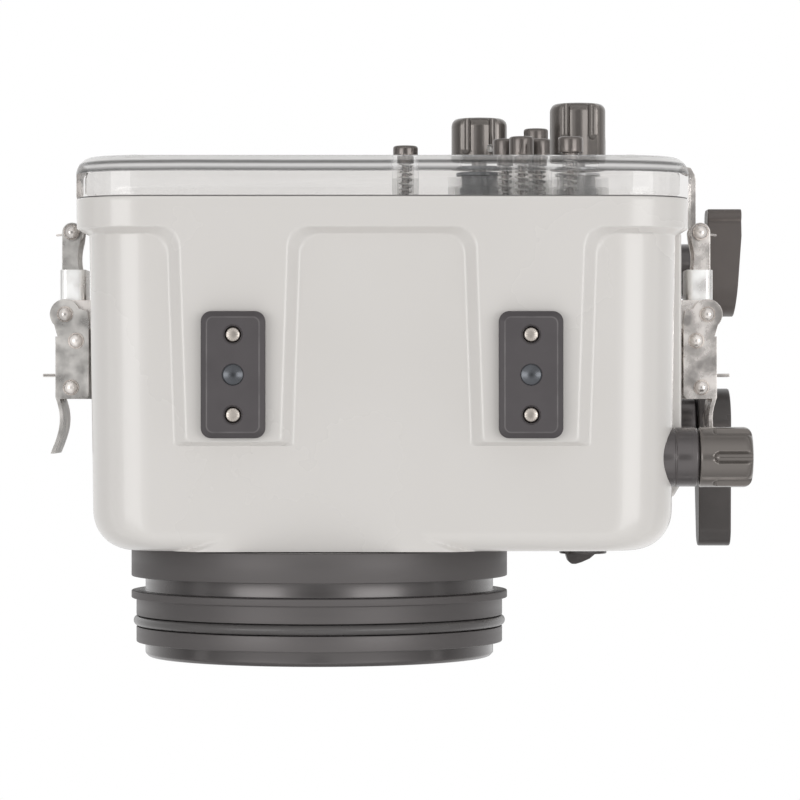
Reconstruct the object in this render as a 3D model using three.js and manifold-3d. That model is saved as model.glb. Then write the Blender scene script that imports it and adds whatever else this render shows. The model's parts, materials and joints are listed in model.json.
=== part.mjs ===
// An underwater camera housing: a moulded shell with a clear back, a port ring, two draw latches,
// knobs, levers and sprung push buttons. Millimetres, +Z up, lens towards -Y, clear back towards +Y.
import * as THREE from "three";
import { mergeVertices } from "three/addons/utils/BufferGeometryUtils.js";
import Module from "manifold-3d";

const wasm = await Module();
wasm.setup();

// Fits that every piece shares.
const play = 0.3; // gap between two pieces that touch
const overrun = 1; // how far a cut runs past a face
const weld = 0.0001; // vertices closer than this are one
const right = Math.PI / 2;
const small = 8; // sides of a pin or a screw
const round = 12; // sides of a small turned piece
const knobSides = 20; // sides of a knob
const fine = 32; // sides of the port ring and its seal

// The shell: y is 0 at its rear face, where the clear back seats, and z is 0 under the tray plates.
const shell = {
  width: 173,
  depth: 103.2,
  bottom: 7,
  height: 134,
  wall: 4.5,
  frontWall: 5,
  sideTaper: 1.4,
  cornerRadius: 18,
  planRadius: 11.6,
  frontEdgeRadius: 6,
  innerRadius: 13.5,
};
const flange = { overhang: 3.6, lift: 3, depth: 9.3, radius: 20 };
const pad = {
  apart: 86,
  rearWidth: 39.2,
  frontWidth: 34.3,
  sideSlope: 3.5,
  frontSlope: 1.2,
  reach: 72.4,
  filletRadius: 6,
};
const sideBoss = { rise: 2, low: 29, high: 112, reach: 87.8, chamfer: 4 };
const wellDepth = 3;
const wellClearance = 0.5;

// The clear back.
const lid = {
  depth: 12.1,
  plate: 4.3,
  skirt: 2.6,
  edgeRadius: 5,
  lipWidth: 5.6,
  lipDepth: 1.6,
  buttonBossRadius: 4,
  knobBossRadius: 9.8,
  bossEnd: 0.9,
  footRadius: 3,
  footRise: 1,
};
const seal = { section: 2.6, inset: 3.1 };

// The port ring, from the shell's front face outwards.
const port = {
  across: 19.3,
  up: 58,
  bore: 47,
  wall: 1.6,
  flangeRadius: 57,
  grooveRadius: 52.75,
  barrelRadius: 55.5,
  sealSeatRadius: 53.2,
  noseRadius: 52.75,
  noseBevel: 1,
  flangeLength: 9,
  grooveLength: 4.4,
  ridgeLength: 2.2,
  barrelLength: 5.2,
  sealLength: 3.4,
  lipLength: 4.7,
  noseLength: 4.4,
  bossRadius: 57.5,
};
const portSealSection = 3;

// The two plates under the shell, which carry it on a tray.
const plate = {
  width: 18.6,
  length: 36.7,
  thickness: 3.7,
  cornerRadius: 3,
  bevel: 1.1,
  back: 51.8,
  threadRadius: 3,
  threadMouth: 0.35,
  screwSpacing: 23.2,
};
const plateScrew = { radius: 2.1, headRadius: 3.8, headHeight: 2.6, sink: 0.4, mouthRadius: 2.75 };
const screwHoleRadius = plateScrew.radius + play;

// The camera's tray inside the shell.
const tray = { width: 96, length: 56, thickness: 3, lift: 5.2, back: 52, cornerRadius: 8, postRadius: 4 };
const trayScrew = { radius: 3, headRadius: 8, headHeight: 4.4, standUp: 7, slotLength: 18 };

// Push buttons: caps on stems, each on a spring in a clear boss.
const button = {
  capRadius: 3.75,
  capEdge: 0.7,
  stemRadius: 1.15,
  tipRadius: 1.6,
  tipLength: 2,
  clipRadius: 2.2,
  clipThickness: 0.7,
  travel: 2,
  spareGap: 0.4,
  wellRadius: 2.6,
  floor: 1.7,
};
const capHeights = { low: 3.2, lower: 4.7, middle: 6, tall: 10.4 };
const spring = { wire: 0.7, coilRadius: 1.85, curls: 6, steps: 8, sides: 5 };

// A knob with ball-ended flutes, its shaft and the gland that seals the shaft.
const knob = {
  radius: 8.85,
  length: 15.6,
  edgeRadius: 2.4,
  fluteRadius: 1.6,
  flutes: 6,
  fluteLength: 10,
  fluteDepth: 1.3,
};
const shaft = { radius: 2.4, inward: 9, driveRadius: 4.6, driveLength: 4 };
const gland = { radius: 8.7, neckRadius: 5, nutRadius: 6.4, nutThickness: 3, running: 0.3 };
const backGland = { radius: 5.6, rise: 1.2, headRadius: 7.2 };
const backKnobs = { lowLength: 14.6, highLength: 19.6, standOff: 2.6 };
const sideKnob = { back: 75.9, up: 23.3, sink: 2.5, glandLength: 8.8 };

// The levers on the side and the front.
const shutter = {
  back: 66.5,
  up: 98,
  glandLength: 9.7,
  thickness: 10.1,
  hubRadius: 11,
  reach: 38.3,
  armHeight: 12,
  drop: 4,
  bevel: 0.9,
};
const rearLever = {
  back: 18.6,
  up: 100,
  glandLength: 13,
  thickness: 10.6,
  taper: 2.4,
  hubRadius: 9.8,
  rearReach: 19.5,
  frontReach: 14.2,
  tailHeight: 13,
  tailRadius: 3,
  tailFlat: 8.5,
  bevel: 0.9,
};
const release = {
  fromSide: 25.5,
  up: 62,
  hubRadius: 7.2,
  hubThickness: 2.4,
  gripRise: 3,
  gripHeight: 11,
  gripWidth: 12,
  shaftRadius: 2,
  glandRadius: 5.4,
};
const leverHold = 8;

// The flash connector on the top.
const bulkhead = {
  across: 42,
  back: 58,
  radius: 9.6,
  height: 4,
  neckRadius: 6.2,
  socketRadius: 4.2,
  socketDepth: 5,
  capRadius: 9,
  capHeight: 8.4,
  capEdge: 1.2,
  spigotLength: 4,
};

// The draw latches: "out" is measured from the wall, "back" from the shell's rear face.
const latch = {
  up: 62,
  sheet: 1.2,
  leverHalf: 11.5,
  pivotOut: 9.5,
  pivotBack: 33.2,
  linkOut: 6.15,
  linkBack: 41.2,
  hookOut: 7.75,
  hookBack: 8.3,
  tabOut: 7.7,
  tabBack: 55.3,
  pinRadius: 1.5,
  headRadius: 2.15,
  headHeight: 1.3,
  lobeRadius: 4.6,
  leverEnd: 58.8,
  webStart: 39.9,
  webOut: 12.4,
  webEnd: 60.3,
  notchEnd: 47.6,
  tailEnd: 75.3,
  tailOut: 13.9,
  tailBow: 10.9,
  baseStart: 27,
  baseEnd: 57,
  innerEdge: 2.3,
  sleeveStart: 19.6,
  sleeveEnd: 29,
  sleeveOut: 11.5,
  sleeveIn: 3.5,
  armOut: 10.8,
  armIn: 5.3,
  armHeadRadius: 3,
  eyeRadius: 2.7,
  strapIn: 5,
  strapSheet: 1.5,
  strapHalf: 5.4,
  tabPlate: 1,
  tabReach: 17,
  tabHalf: 3.4,
  tabTravel: 3.2,
  tabLine: 51.6,
};

// Where things stand on the back, as shares of the flange's half width and of its height.
const buttonShares = [
  { name: "push_button_menu", across: -0.0757, up: 0.34, cap: "low" },
  { name: "push_button_left", across: -0.4136, up: 0.415, cap: "middle" },
  { name: "push_button_down", across: -0.465, up: 0.34, cap: "middle" },
  { name: "push_button_right", across: -0.5276, up: 0.415, cap: "middle" },
  { name: "push_button_upper", across: -0.5246, up: 0.535, cap: "tall" },
  { name: "push_button_lower", across: -0.6205, up: 0.22, cap: "lower" },
];
const knobShares = [
  { name: "back_knob_inner", across: -0.334, up: 0.66, length: backKnobs.lowLength },
  { name: "back_knob_outer", across: -0.68, up: 0.69, length: backKnobs.highLength },
];
const footShares = [-0.81, 0.81];
const sideFluteShare = 0.5; // one flute of the side knob faces down
const backFluteShare = 0; // two flutes of a back knob stand on either side of that

// Sizes that follow from the ones above.
const halfWidth = shell.width / 2;
const flangeHalf = halfWidth + flange.overhang;
const flangeBottom = shell.bottom - flange.lift;
const flangeTop = shell.bottom + shell.height + flange.lift;
const flangeHeight = flangeTop - flangeBottom;
const shellTop = shell.bottom + shell.height;
const floorLevel = shell.bottom + shell.wall;
const bossWall = halfWidth + sideBoss.rise;
const knobFoot = halfWidth - sideKnob.sink;
const releaseAcross = halfWidth - release.fromSide;
const plateInner = lid.depth - lid.plate;
const trayBottom = floorLevel + tray.lift;
const capFloor = lid.depth + button.travel + button.spareGap;

const colours = {
  shell: ["#d8d3cf", 0.35, 0],
  clear: ["#dfe4e4", 0.1, 0],
  anodised: ["#5c5957", 0.45, 0.6],
  black: ["#2c2a2a", 0.5, 0],
  rubber: ["#1d1d1d", 0.8, 0],
  steel: ["#cfc9c2", 0.2, 1],
  alloy: ["#a9aaac", 0.4, 1],
  bronze: ["#6e625b", 0.35, 0.8],
};
const clearOpacity = 0.45;
const materials = {};
for (const [name, [color, roughness, metalness]] of Object.entries(colours)) {
  materials[name] = new THREE.MeshStandardMaterial({ color, roughness, metalness });
}
materials.clear.transparent = true;
materials.clear.opacity = clearOpacity;

// A closed geometry as a solid that can be joined and cut.
function solid(geometry) {
  const bare = geometry.index ? geometry.toNonIndexed() : geometry.clone();
  bare.deleteAttribute("normal");
  bare.deleteAttribute("uv");
  const merged = mergeVertices(bare, weld);
  const triVerts = new Uint32Array(merged.index.array);
  const vertProperties = merged.attributes.position.array;
  const body = new wasm.Manifold(new wasm.Mesh({ numProp: 3, vertProperties, triVerts }));
  if (body.volume() < 0) {
    throw new Error("an outline runs the wrong way round");
  }
  return body;
}

function geometryOf(body) {
  const mesh = body.getMesh();
  const geometry = new THREE.BufferGeometry();
  geometry.setAttribute("position", new THREE.BufferAttribute(mesh.vertProperties, 3));
  geometry.setIndex(new THREE.BufferAttribute(mesh.triVerts, 1));
  return geometry;
}

function piece(name, body, material) {
  const mesh = new THREE.Mesh(geometryOf(body), material);
  mesh.name = name;
  return mesh;
}

const joined = (first, ...others) => others.reduce((whole, next) => whole.add(next), first);
const cut = (first, ...tools) => tools.reduce((rest, tool) => rest.subtract(tool), first);

// Turns a piece made along +Z so that it points along another axis.
const axisX = new THREE.Vector3(1, 0, 0);
const axisY = new THREE.Vector3(0, 1, 0);
const axisZ = new THREE.Vector3(0, 0, 1);
const turns = {
  "+x": new THREE.Matrix4().makeBasis(axisY, axisZ, axisX),
  "-x": new THREE.Matrix4().makeBasis(axisY, axisZ.clone().negate(), axisX.clone().negate()),
  "+y": new THREE.Matrix4().makeBasis(axisX, axisZ.clone().negate(), axisY),
  "-y": new THREE.Matrix4().makeBasis(axisX, axisZ, axisY.clone().negate()),
  "+z": new THREE.Matrix4(),
};

// A flat outline pushed along an axis: x and y drawn for z, x and z for y, y and z for x.
function extruded(shape, low, high, axis = "z", curveSegments = 4) {
  const options = { depth: high - low, bevelEnabled: false, curveSegments };
  const geometry = new THREE.ExtrudeGeometry(shape, options);
  geometry.translate(0, 0, axis === "y" ? -high : low);
  const turn = { x: "+x", y: "-y", z: "+z" }[axis];
  return solid(geometry.applyMatrix4(turns[turn]));
}

// The same with rounded edges at both ends.
function bevelled(shape, low, high, axis, bevel, bevelSegments, curveSegments) {
  const depth = high - low - 2 * bevel;
  const edges = { bevelThickness: bevel, bevelSize: bevel, bevelOffset: -bevel, bevelSegments };
  const geometry = new THREE.ExtrudeGeometry(shape, { depth, curveSegments, ...edges });
  geometry.translate(0, 0, (axis === "y" ? -high : low) + bevel);
  const turn = { x: "+x", y: "-y", z: "+z" }[axis];
  return solid(geometry.applyMatrix4(turns[turn]));
}

// A piece turned round its own axis, from its radii and their places along the axis.
function turned(outline, axis = "+z", at = [0, 0, 0], segments = round) {
  const points = outline.map(([radius, along]) => new THREE.Vector2(radius, along));
  const geometry = new THREE.LatheGeometry(points, segments);
  geometry.rotateX(right).applyMatrix4(turns[axis]).translate(...at);
  return solid(geometry);
}

function rod(radius, low, high, axis, at, segments = round) {
  return turned([[0, low], [radius, low], [radius, high], [0, high]], axis, at, segments);
}

// A straight pin with a domed head at each end, along +Z.
function rivet(radius, low, high, head, rise, at) {
  const domeShare = 0.7;
  const outline = [
    [0, low - rise],
    [head * domeShare, low - rise * domeShare],
    [head, low],
    [radius, low],
    [radius, high],
    [head, high],
    [head * domeShare, high + rise * domeShare],
    [0, high + rise],
  ];
  return turned(outline, "+z", at, small);
}

function rectangle(left, bottom, rightEdge, top, radius) {
  const shape = new THREE.Shape();
  shape.absarc(rightEdge - radius, bottom + radius, radius, -right, 0);
  shape.absarc(rightEdge - radius, top - radius, radius, 0, right);
  shape.absarc(left + radius, top - radius, radius, right, Math.PI);
  shape.absarc(left + radius, bottom + radius, radius, Math.PI, Math.PI + right);
  return shape;
}

function box(low, high) {
  const size = high.map((value, i) => value - low[i]);
  const middle = high.map((value, i) => (value + low[i]) / 2);
  return solid(new THREE.BoxGeometry(...size).translate(...middle));
}

function outline(points) {
  return new THREE.Shape(points.map(([x, y]) => new THREE.Vector2(x, y)));
}

// The lid's and the flange's outline, drawn in by an inset, as seen along Y.
function rim(inset) {
  const low = flangeBottom + inset;
  const high = flangeTop - inset;
  return rectangle(inset - flangeHalf, low, flangeHalf - inset, high, flange.radius - inset);
}

// The shell's outside: three outlines that meet, one for each direction of view.
function shellBlock() {
  const front = -shell.depth;
  const taper = shell.sideTaper;
  const low = shell.bottom;
  const high = shellTop;
  const across = rectangle(-halfWidth, low, halfWidth, high, shell.cornerRadius);
  const corner = shell.planRadius;
  const plan = new THREE.Shape();
  plan.absarc(taper + corner - halfWidth, front + corner, corner, Math.PI, 1.5 * Math.PI);
  plan.absarc(halfWidth - taper - corner, front + corner, corner, 1.5 * Math.PI, 2 * Math.PI);
  plan.lineTo(halfWidth, overrun);
  plan.lineTo(-halfWidth, overrun);
  const side = new THREE.Shape();
  side.moveTo(overrun, low);
  side.lineTo(overrun, high);
  side.absarc(front + corner, high - corner, corner, right, Math.PI);
  const edge = shell.frontEdgeRadius;
  side.absarc(front + edge, low + edge, edge, Math.PI, 1.5 * Math.PI);
  const body = extruded(across, front - overrun, 0, "y", 4);
  const reach = halfWidth + overrun;
  return body
    .intersect(extruded(plan, low - overrun, high + overrun, "z", 4))
    .intersect(extruded(side, -reach, reach, "x", 4));
}

// A raised pad under the shell that widens towards the rear and runs into the flange.
function padBlock(middle) {
  const levels = [shell.bottom + overrun, shell.bottom, flangeBottom];
  const slope = [0, 0, pad.sideSlope];
  const frontSlope = [0, 0, pad.frontSlope];
  const rear = pad.rearWidth / 2;
  const front = pad.frontWidth / 2;
  const corners = [];
  levels.forEach((level, i) => {
    const inset = slope[i];
    corners.push([rear - inset, 0, level], [front - inset, frontSlope[i] - pad.reach, level]);
  });
  const vertices = [];
  for (const side of [-1, 1]) {
    for (const [x, y, z] of corners) {
      vertices.push([middle + side * x, y, z]);
    }
  }
  return hull(vertices);
}

// A convex block whose corners come in a left set and a right set, level by level.
function hull(vertices) {
  const count = vertices.length / 2;
  const ring = [];
  for (let i = 0; i < count; i += 2) {
    ring.push([i, i + 1, i + 1 + count, i + count]);
  }
  const faces = [ring[0], [...ring[ring.length - 1]].reverse()];
  for (let i = 0; i + 1 < ring.length; i += 1) {
    for (let k = 0; k < 4; k += 1) {
      const next = (k + 1) % 4;
      faces.push([ring[i][k], ring[i + 1][k], ring[i + 1][next], ring[i][next]]);
    }
  }
  const position = [];
  for (const [a, b, c, d] of faces) {
    for (const corner of [a, b, c, a, c, d]) {
      position.push(...vertices[corner]);
    }
  }
  const geometry = new THREE.BufferGeometry();
  geometry.setAttribute("position", new THREE.Float32BufferAttribute(position, 3));
  return solid(geometry);
}

// The shallow curve where a pad's side runs out into the flange band.
function padFillet(middle, side) {
  const edge = middle + side * (pad.rearWidth / 2 - pad.sideSlope / 2);
  const start = -flange.depth;
  const radius = pad.filletRadius;
  const shape = new THREE.Shape();
  shape.moveTo(edge - side * radius, start + overrun);
  shape.lineTo(edge - side * radius, start - radius);
  shape.lineTo(edge, start - radius);
  const steps = 5;
  for (let i = 1; i <= steps; i += 1) {
    const angle = (right * i) / steps;
    const out = radius * (1 - Math.cos(angle));
    shape.lineTo(edge + side * out, start - radius * (1 - Math.sin(angle)));
  }
  shape.lineTo(edge + side * radius, start + overrun);
  return extruded(shape, flangeBottom, shell.bottom + overrun);
}

function sideBossBlock() {
  const wall = -halfWidth;
  const shape = outline([
    [wall + shell.wall, 0],
    [-bossWall, 0],
    [-bossWall, sideBoss.chamfer - sideBoss.reach],
    [wall, -sideBoss.reach],
    [wall + shell.wall, -sideBoss.reach],
  ]);
  return extruded(shape, sideBoss.low, sideBoss.high);
}

// The places of the glands in the walls, each as its axis, its mouth and its hole.
const sideGlands = {
  side_knob: { back: sideKnob.back, up: sideKnob.up, foot: knobFoot },
  shutter_lever: { back: shutter.back, up: shutter.up, foot: bossWall },
  rear_lever: { back: rearLever.back, up: rearLever.up, foot: bossWall },
};

function bodyShell() {
  const front = -shell.depth;
  let body = shellBlock();
  body = body.add(extruded(rim(0), -flange.depth, 0, "y", 4));
  for (const side of [-1, 1]) {
    const middle = (side * pad.apart) / 2;
    body = joined(body, padBlock(middle), padFillet(middle, -1), padFillet(middle, 1));
  }
  body = body.add(sideBossBlock());
  const portBoss = rod(port.bossRadius, 0, shell.planRadius, "+y", [port.across, front, port.up], fine);
  const aboveBottom = box([-flangeHalf, front, shell.bottom], [flangeHalf, 0, shellTop]);
  body = body.add(portBoss.intersect(aboveBottom));
  const knobAt = [0, -sideKnob.back, sideKnob.up];
  const deep = halfWidth - shell.cornerRadius;
  body = body.add(rod(gland.radius, deep, knobFoot, "-x", knobAt));
  const seat = rod(gland.radius + play, knobFoot, bossWall + overrun, "-x", knobAt);
  const nutSeat = rod(gland.nutRadius + play, deep - overrun, knobFoot - shell.wall, "-x", knobAt);
  return cut(
    body,
    seat,
    nutSeat,
    ...shellCavity(front),
    ...glandHoles(),
    ...plateHoles(),
    sealGroove(),
  ).add(trayPosts());
}

function shellCavity(front) {
  const side = halfWidth - shell.wall;
  const shape = rectangle(-side, floorLevel, side, shellTop - shell.wall, shell.innerRadius);
  const cavity = extruded(shape, front + shell.frontWall, overrun, "y", 3);
  const throat = rod(port.bore + port.wall + play, -overrun, shell.frontWall + overrun, "+y",
    [port.across, front, port.up], fine);
  return [cavity, throat];
}

function glandHoles() {
  const hole = gland.neckRadius + play;
  const holes = Object.values(sideGlands).map(({ back, up }) =>
    rod(hole, halfWidth - shell.cornerRadius - overrun, bossWall + overrun, "-x", [0, -back, up]));
  const releaseHole = rod(release.glandRadius + play, -overrun, shell.frontWall + overrun, "+y",
    [-releaseAcross, -shell.depth, release.up]);
  const topHole = rod(bulkhead.neckRadius + play, -shell.wall - overrun, overrun, "+z",
    [bulkhead.across, -bulkhead.back, shellTop]);
  return [...holes, releaseHole, topHole];
}

// The places of the four plate screws.
function screwPlaces() {
  const places = [];
  for (const side of [-1, 1]) {
    for (const end of [-1, 1]) {
      places.push({ side, end, x: (side * pad.apart) / 2, y: (end * plate.screwSpacing) / 2 - plate.back });
    }
  }
  return places;
}

function plateHoles() {
  const holes = screwPlaces().map(({ x, y }) =>
    rod(screwHoleRadius, flangeBottom - overrun, floorLevel + overrun, "+z", [x, y, 0], small));
  for (const side of [-1, 1]) {
    const radius = plate.threadRadius + wellClearance;
    const at = [(side * pad.apart) / 2, -plate.back, flangeBottom];
    holes.push(rod(radius, -overrun, wellDepth, "+z", at));
  }
  return holes;
}

// A band that follows the rim, between two insets.
function rimBand(inset, width, low, high) {
  const outer = extruded(rim(inset), low, high, "y", 3);
  return outer.subtract(extruded(rim(inset + width), low - overrun, high + overrun, "y", 3));
}

function sealGroove() {
  const width = seal.section + 2 * play;
  return rimBand(seal.inset - width / 2, width, -seal.section, overrun);
}

function trayPosts() {
  const places = [];
  for (const side of [-1, 1]) {
    for (const end of [-1, 1]) {
      const x = port.across + side * (tray.width / 2 - tray.cornerRadius);
      const y = end * (tray.length / 2 - tray.cornerRadius) - tray.back;
      places.push(rod(tray.postRadius, floorLevel - overrun, trayBottom - play, "+z", [x, y, 0], small));
    }
  }
  return joined(...places);
}

function portRing() {
  const lengths = [port.flangeLength, port.grooveLength, port.ridgeLength, port.barrelLength];
  lengths.push(port.sealLength, port.lipLength, port.noseLength);
  const ends = lengths.map((_, i) => lengths.slice(0, i + 1).reduce((sum, one) => sum + one, 0));
  const radii = [port.flangeRadius, port.grooveRadius, port.flangeRadius, port.barrelRadius];
  radii.push(port.sealSeatRadius, port.barrelRadius, port.noseRadius);
  const spigot = port.bore + port.wall;
  const profile = [[port.bore, -shell.frontWall], [spigot, -shell.frontWall], [spigot, play]];
  radii.forEach((radius, i) => {
    profile.push([radius, i === 0 ? play : ends[i - 1]], [radius, ends[i]]);
  });
  const last = profile.pop();
  profile.push([last[0], last[1] - port.noseBevel], [last[0] - port.noseBevel, last[1]]);
  profile.push([port.bore, last[1]], profile[0]);
  const ring = turned(profile, "-y", [port.across, -shell.depth, port.up], fine);
  return piece("port_ring", ring, materials.anodised);
}

function portSeal() {
  const before = port.flangeLength + port.grooveLength + port.ridgeLength + port.barrelLength;
  const section = portSealSection / 2;
  const centre = before + port.sealLength / 2;
  const radius = port.sealSeatRadius + play / 2 + section;
  const profile = [];
  const sides = 6;
  for (let i = 0; i <= sides; i += 1) {
    const angle = (2 * Math.PI * (i % sides)) / sides;
    profile.push([radius + section * Math.cos(angle), centre + section * Math.sin(angle)]);
  }
  const ring = turned(profile, "-y", [port.across, -shell.depth, port.up], fine);
  return piece("port_o_ring", ring, materials.rubber);
}

function trayPlate(side) {
  const x = (side * pad.apart) / 2;
  const y = -plate.back;
  const wide = plate.width / 2;
  const long = plate.length / 2;
  const shape = rectangle(x - wide, y - long, x + wide, y + long, plate.cornerRadius);
  const straight = extruded(shape, plate.bevel, plate.thickness, "z", 2);
  const sloped = bevelled(shape, 0, plate.thickness, "z", plate.bevel, 1, 2);
  const mouth = plate.threadRadius + plate.threadMouth;
  const hole = turned(
    [[0, -overrun], [mouth, -overrun], [mouth, 0], [plate.threadRadius, plate.threadMouth],
      [plate.threadRadius, plate.thickness + overrun], [0, plate.thickness + overrun]],
    "+z", [x, y, 0]);
  const tools = [hole];
  for (const end of [-1, 1]) {
    const at = [x, y + (end * plate.screwSpacing) / 2, 0];
    const flare = plateScrew.mouthRadius - screwHoleRadius;
    tools.push(turned(
      [[0, -overrun], [plateScrew.mouthRadius, -overrun], [plateScrew.mouthRadius, 0],
        [screwHoleRadius, flare], [screwHoleRadius, plate.thickness + overrun],
        [0, plate.thickness + overrun]],
      "+z", at));
  }
  const name = side < 0 ? "tray_plate_right" : "tray_plate_left";
  return piece(name, cut(straight.add(sloped), ...tools), materials.anodised);
}

// Each screw enters from inside the shell and ends just under the plate's face.
function plateScrews() {
  return screwPlaces().map(({ side, end, x, y }) => {
    const seat = floorLevel + play;
    const body = turned(
      [[0, plateScrew.sink], [plateScrew.radius, plateScrew.sink], [plateScrew.radius, seat],
        [plateScrew.headRadius, seat], [plateScrew.headRadius, seat + plateScrew.headHeight],
        [0, seat + plateScrew.headHeight]],
      "+z", [x, y, 0], small);
    const name = `plate_screw_${side < 0 ? "right" : "left"}_${end < 0 ? "front" : "rear"}`;
    return piece(name, body, materials.steel);
  });
}

function cameraTray() {
  const wide = tray.width / 2;
  const long = tray.length / 2;
  const x = port.across;
  const y = -tray.back;
  const shape = rectangle(x - wide, y - long, x + wide, y + long, tray.cornerRadius);
  const half = trayScrew.slotLength / 2;
  const open = trayScrew.radius + play;
  const slot = rectangle(x - half, y - open, x + half, y + open, open - weld);
  const body = extruded(shape, trayBottom, trayBottom + tray.thickness, "z", 3)
    .subtract(extruded(slot, trayBottom - overrun, trayBottom + tray.thickness + overrun, "z", 3));
  return piece("camera_tray", body, materials.alloy);
}

function trayScrewPiece() {
  const top = trayBottom - play;
  const body = turned(
    [[0, top - trayScrew.headHeight], [trayScrew.headRadius, top - trayScrew.headHeight],
      [trayScrew.headRadius, top], [trayScrew.radius, top],
      [trayScrew.radius, trayBottom + tray.thickness + trayScrew.standUp],
      [0, trayBottom + tray.thickness + trayScrew.standUp]],
    "+z", [port.across, -tray.back, 0]);
  return piece("tray_screw", body, materials.alloy);
}

// The place of a control on the back, from its shares.
function onBack({ across, up }) {
  return [across * flangeHalf, 0, flangeBottom + up * flangeHeight];
}

function backCover() {
  const reach = overrun + lid.edgeRadius;
  let body = bevelled(rim(0), -reach, lid.depth, "y", lid.edgeRadius, 3, 4);
  const half = flangeHalf + overrun;
  const bounds = [
    [-half, play, flangeBottom - overrun],
    [half, lid.depth + overrun, flangeTop + overrun],
  ];
  body = body.intersect(box(...bounds));
  for (const share of footShares) {
    const at = [share * flangeHalf, lid.depth - overrun, flangeBottom + flange.radius];
    const rise = overrun + lid.footRise;
    body = body.add(turned(
      [[0, 0], [lid.footRadius, 0], [lid.footRadius, overrun],
        [lid.footRadius - lid.footRise, rise], [0, rise]],
      "+y", at, small));
  }
  const lip = extruded(rim(lid.lipWidth), -overrun, lid.lipDepth + overrun, "y", 3);
  const hollow = extruded(rim(lid.skirt), lid.lipDepth, plateInner, "y", 3);
  body = cut(body, lip, hollow);
  const tools = [];
  for (const place of buttonShares) {
    const at = onBack(place);
    body = body.add(rod(lid.buttonBossRadius, lid.bossEnd, plateInner + overrun, "+y", at, round));
    tools.push(rod(button.stemRadius + play, -overrun, lid.depth + overrun, "+y", at, small));
    tools.push(rod(button.wellRadius, lid.bossEnd + button.floor, lid.depth + overrun, "+y", at, round));
  }
  for (const place of knobShares) {
    const at = onBack(place);
    body = body.add(rod(lid.knobBossRadius, lid.bossEnd, plateInner + overrun, "+y", at, round));
    tools.push(rod(backGland.radius + play, -overrun, lid.depth + overrun, "+y", at, round));
  }
  return piece("back_cover", cut(body, ...tools), materials.clear);
}

function backSeal() {
  const width = seal.section;
  const body = rimBand(seal.inset - width / 2, width, play - seal.section, 0);
  return piece("back_seal", body, materials.rubber);
}

function pushButton(place) {
  const top = capFloor + capHeights[place.cap];
  const clip = lid.bossEnd - play;
  const tip = clip - button.clipThickness - button.tipLength;
  const body = turned(
    [[0, tip], [button.tipRadius, tip], [button.tipRadius, clip - button.clipThickness],
      [button.clipRadius, clip - button.clipThickness], [button.clipRadius, clip], [button.stemRadius, clip],
      [button.stemRadius, capFloor], [button.capRadius, capFloor], [button.capRadius, top - button.capEdge],
      [button.capRadius - button.capEdge, top], [0, top]],
    "+y", onBack(place));
  return piece(place.name, body, materials.bronze);
}

// A spring as one tube: its line runs straight off each seat, then winds round the stem.
function springLine(low, high) {
  const points = [];
  const total = spring.curls * spring.steps;
  const start = low + spring.wire;
  const rise = high - spring.wire - start;
  points.push(new THREE.Vector3(spring.coilRadius, 0, low));
  for (let i = 0; i <= total; i += 1) {
    const angle = (2 * Math.PI * i) / spring.steps;
    const x = spring.coilRadius * Math.cos(angle);
    const y = spring.coilRadius * Math.sin(angle);
    points.push(new THREE.Vector3(x, y, start + (rise * i) / total));
  }
  points.push(points[points.length - 1].clone().setZ(high));
  return points;
}

function springTube(points) {
  const sides = spring.sides;
  const radius = spring.wire / 2;
  const position = [];
  const rings = points.map((point, i) => {
    const before = points[Math.max(i - 1, 0)];
    const after = points[Math.min(i + 1, points.length - 1)];
    const direction = after.clone().sub(before).normalize();
    const outward = new THREE.Vector3(point.x, point.y, 0).normalize();
    const across = new THREE.Vector3().crossVectors(direction, outward).normalize();
    const upward = new THREE.Vector3().crossVectors(across, direction);
    return Array.from({ length: sides }, (_, k) => {
      const angle = (2 * Math.PI * k) / sides;
      const spoke = upward.clone().multiplyScalar(radius * Math.cos(angle));
      return point.clone().add(spoke).addScaledVector(across, radius * Math.sin(angle));
    });
  });
  const triangle = (a, b, c) => position.push(...a.toArray(), ...b.toArray(), ...c.toArray());
  for (let i = 0; i + 1 < rings.length; i += 1) {
    for (let k = 0; k < sides; k += 1) {
      const next = (k + 1) % sides;
      triangle(rings[i][k], rings[i][next], rings[i + 1][next]);
      triangle(rings[i][k], rings[i + 1][next], rings[i + 1][k]);
    }
  }
  const first = rings[0];
  const last = rings[rings.length - 1];
  for (let k = 1; k + 1 < sides; k += 1) {
    triangle(first[0], first[k + 1], first[k]);
    triangle(last[0], last[k], last[k + 1]);
  }
  const geometry = new THREE.BufferGeometry();
  geometry.setAttribute("position", new THREE.Float32BufferAttribute(position, 3));
  return geometry;
}

// The least gap between the spring's own curls, on points half a curl or more apart.
function leastGap(points) {
  let least = Infinity;
  for (let i = 0; i < points.length; i += 1) {
    for (let k = i + spring.steps / 2; k < points.length; k += 1) {
      least = Math.min(least, points[i].distanceTo(points[k]) - spring.wire);
    }
  }
  return least;
}

function buttonSpring(place) {
  const low = lid.bossEnd + button.floor + play;
  const high = capFloor - play;
  const points = springLine(low, high);
  console.log(`${place.name} spring: least gap to itself ${leastGap(points).toFixed(2)} mm`);
  const [x, y, z] = onBack(place);
  const body = solid(springTube(points).applyMatrix4(turns["+y"]).translate(x, y, z));
  return piece(place.name.replace("push_button", "button_spring"), body, materials.steel);
}

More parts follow.
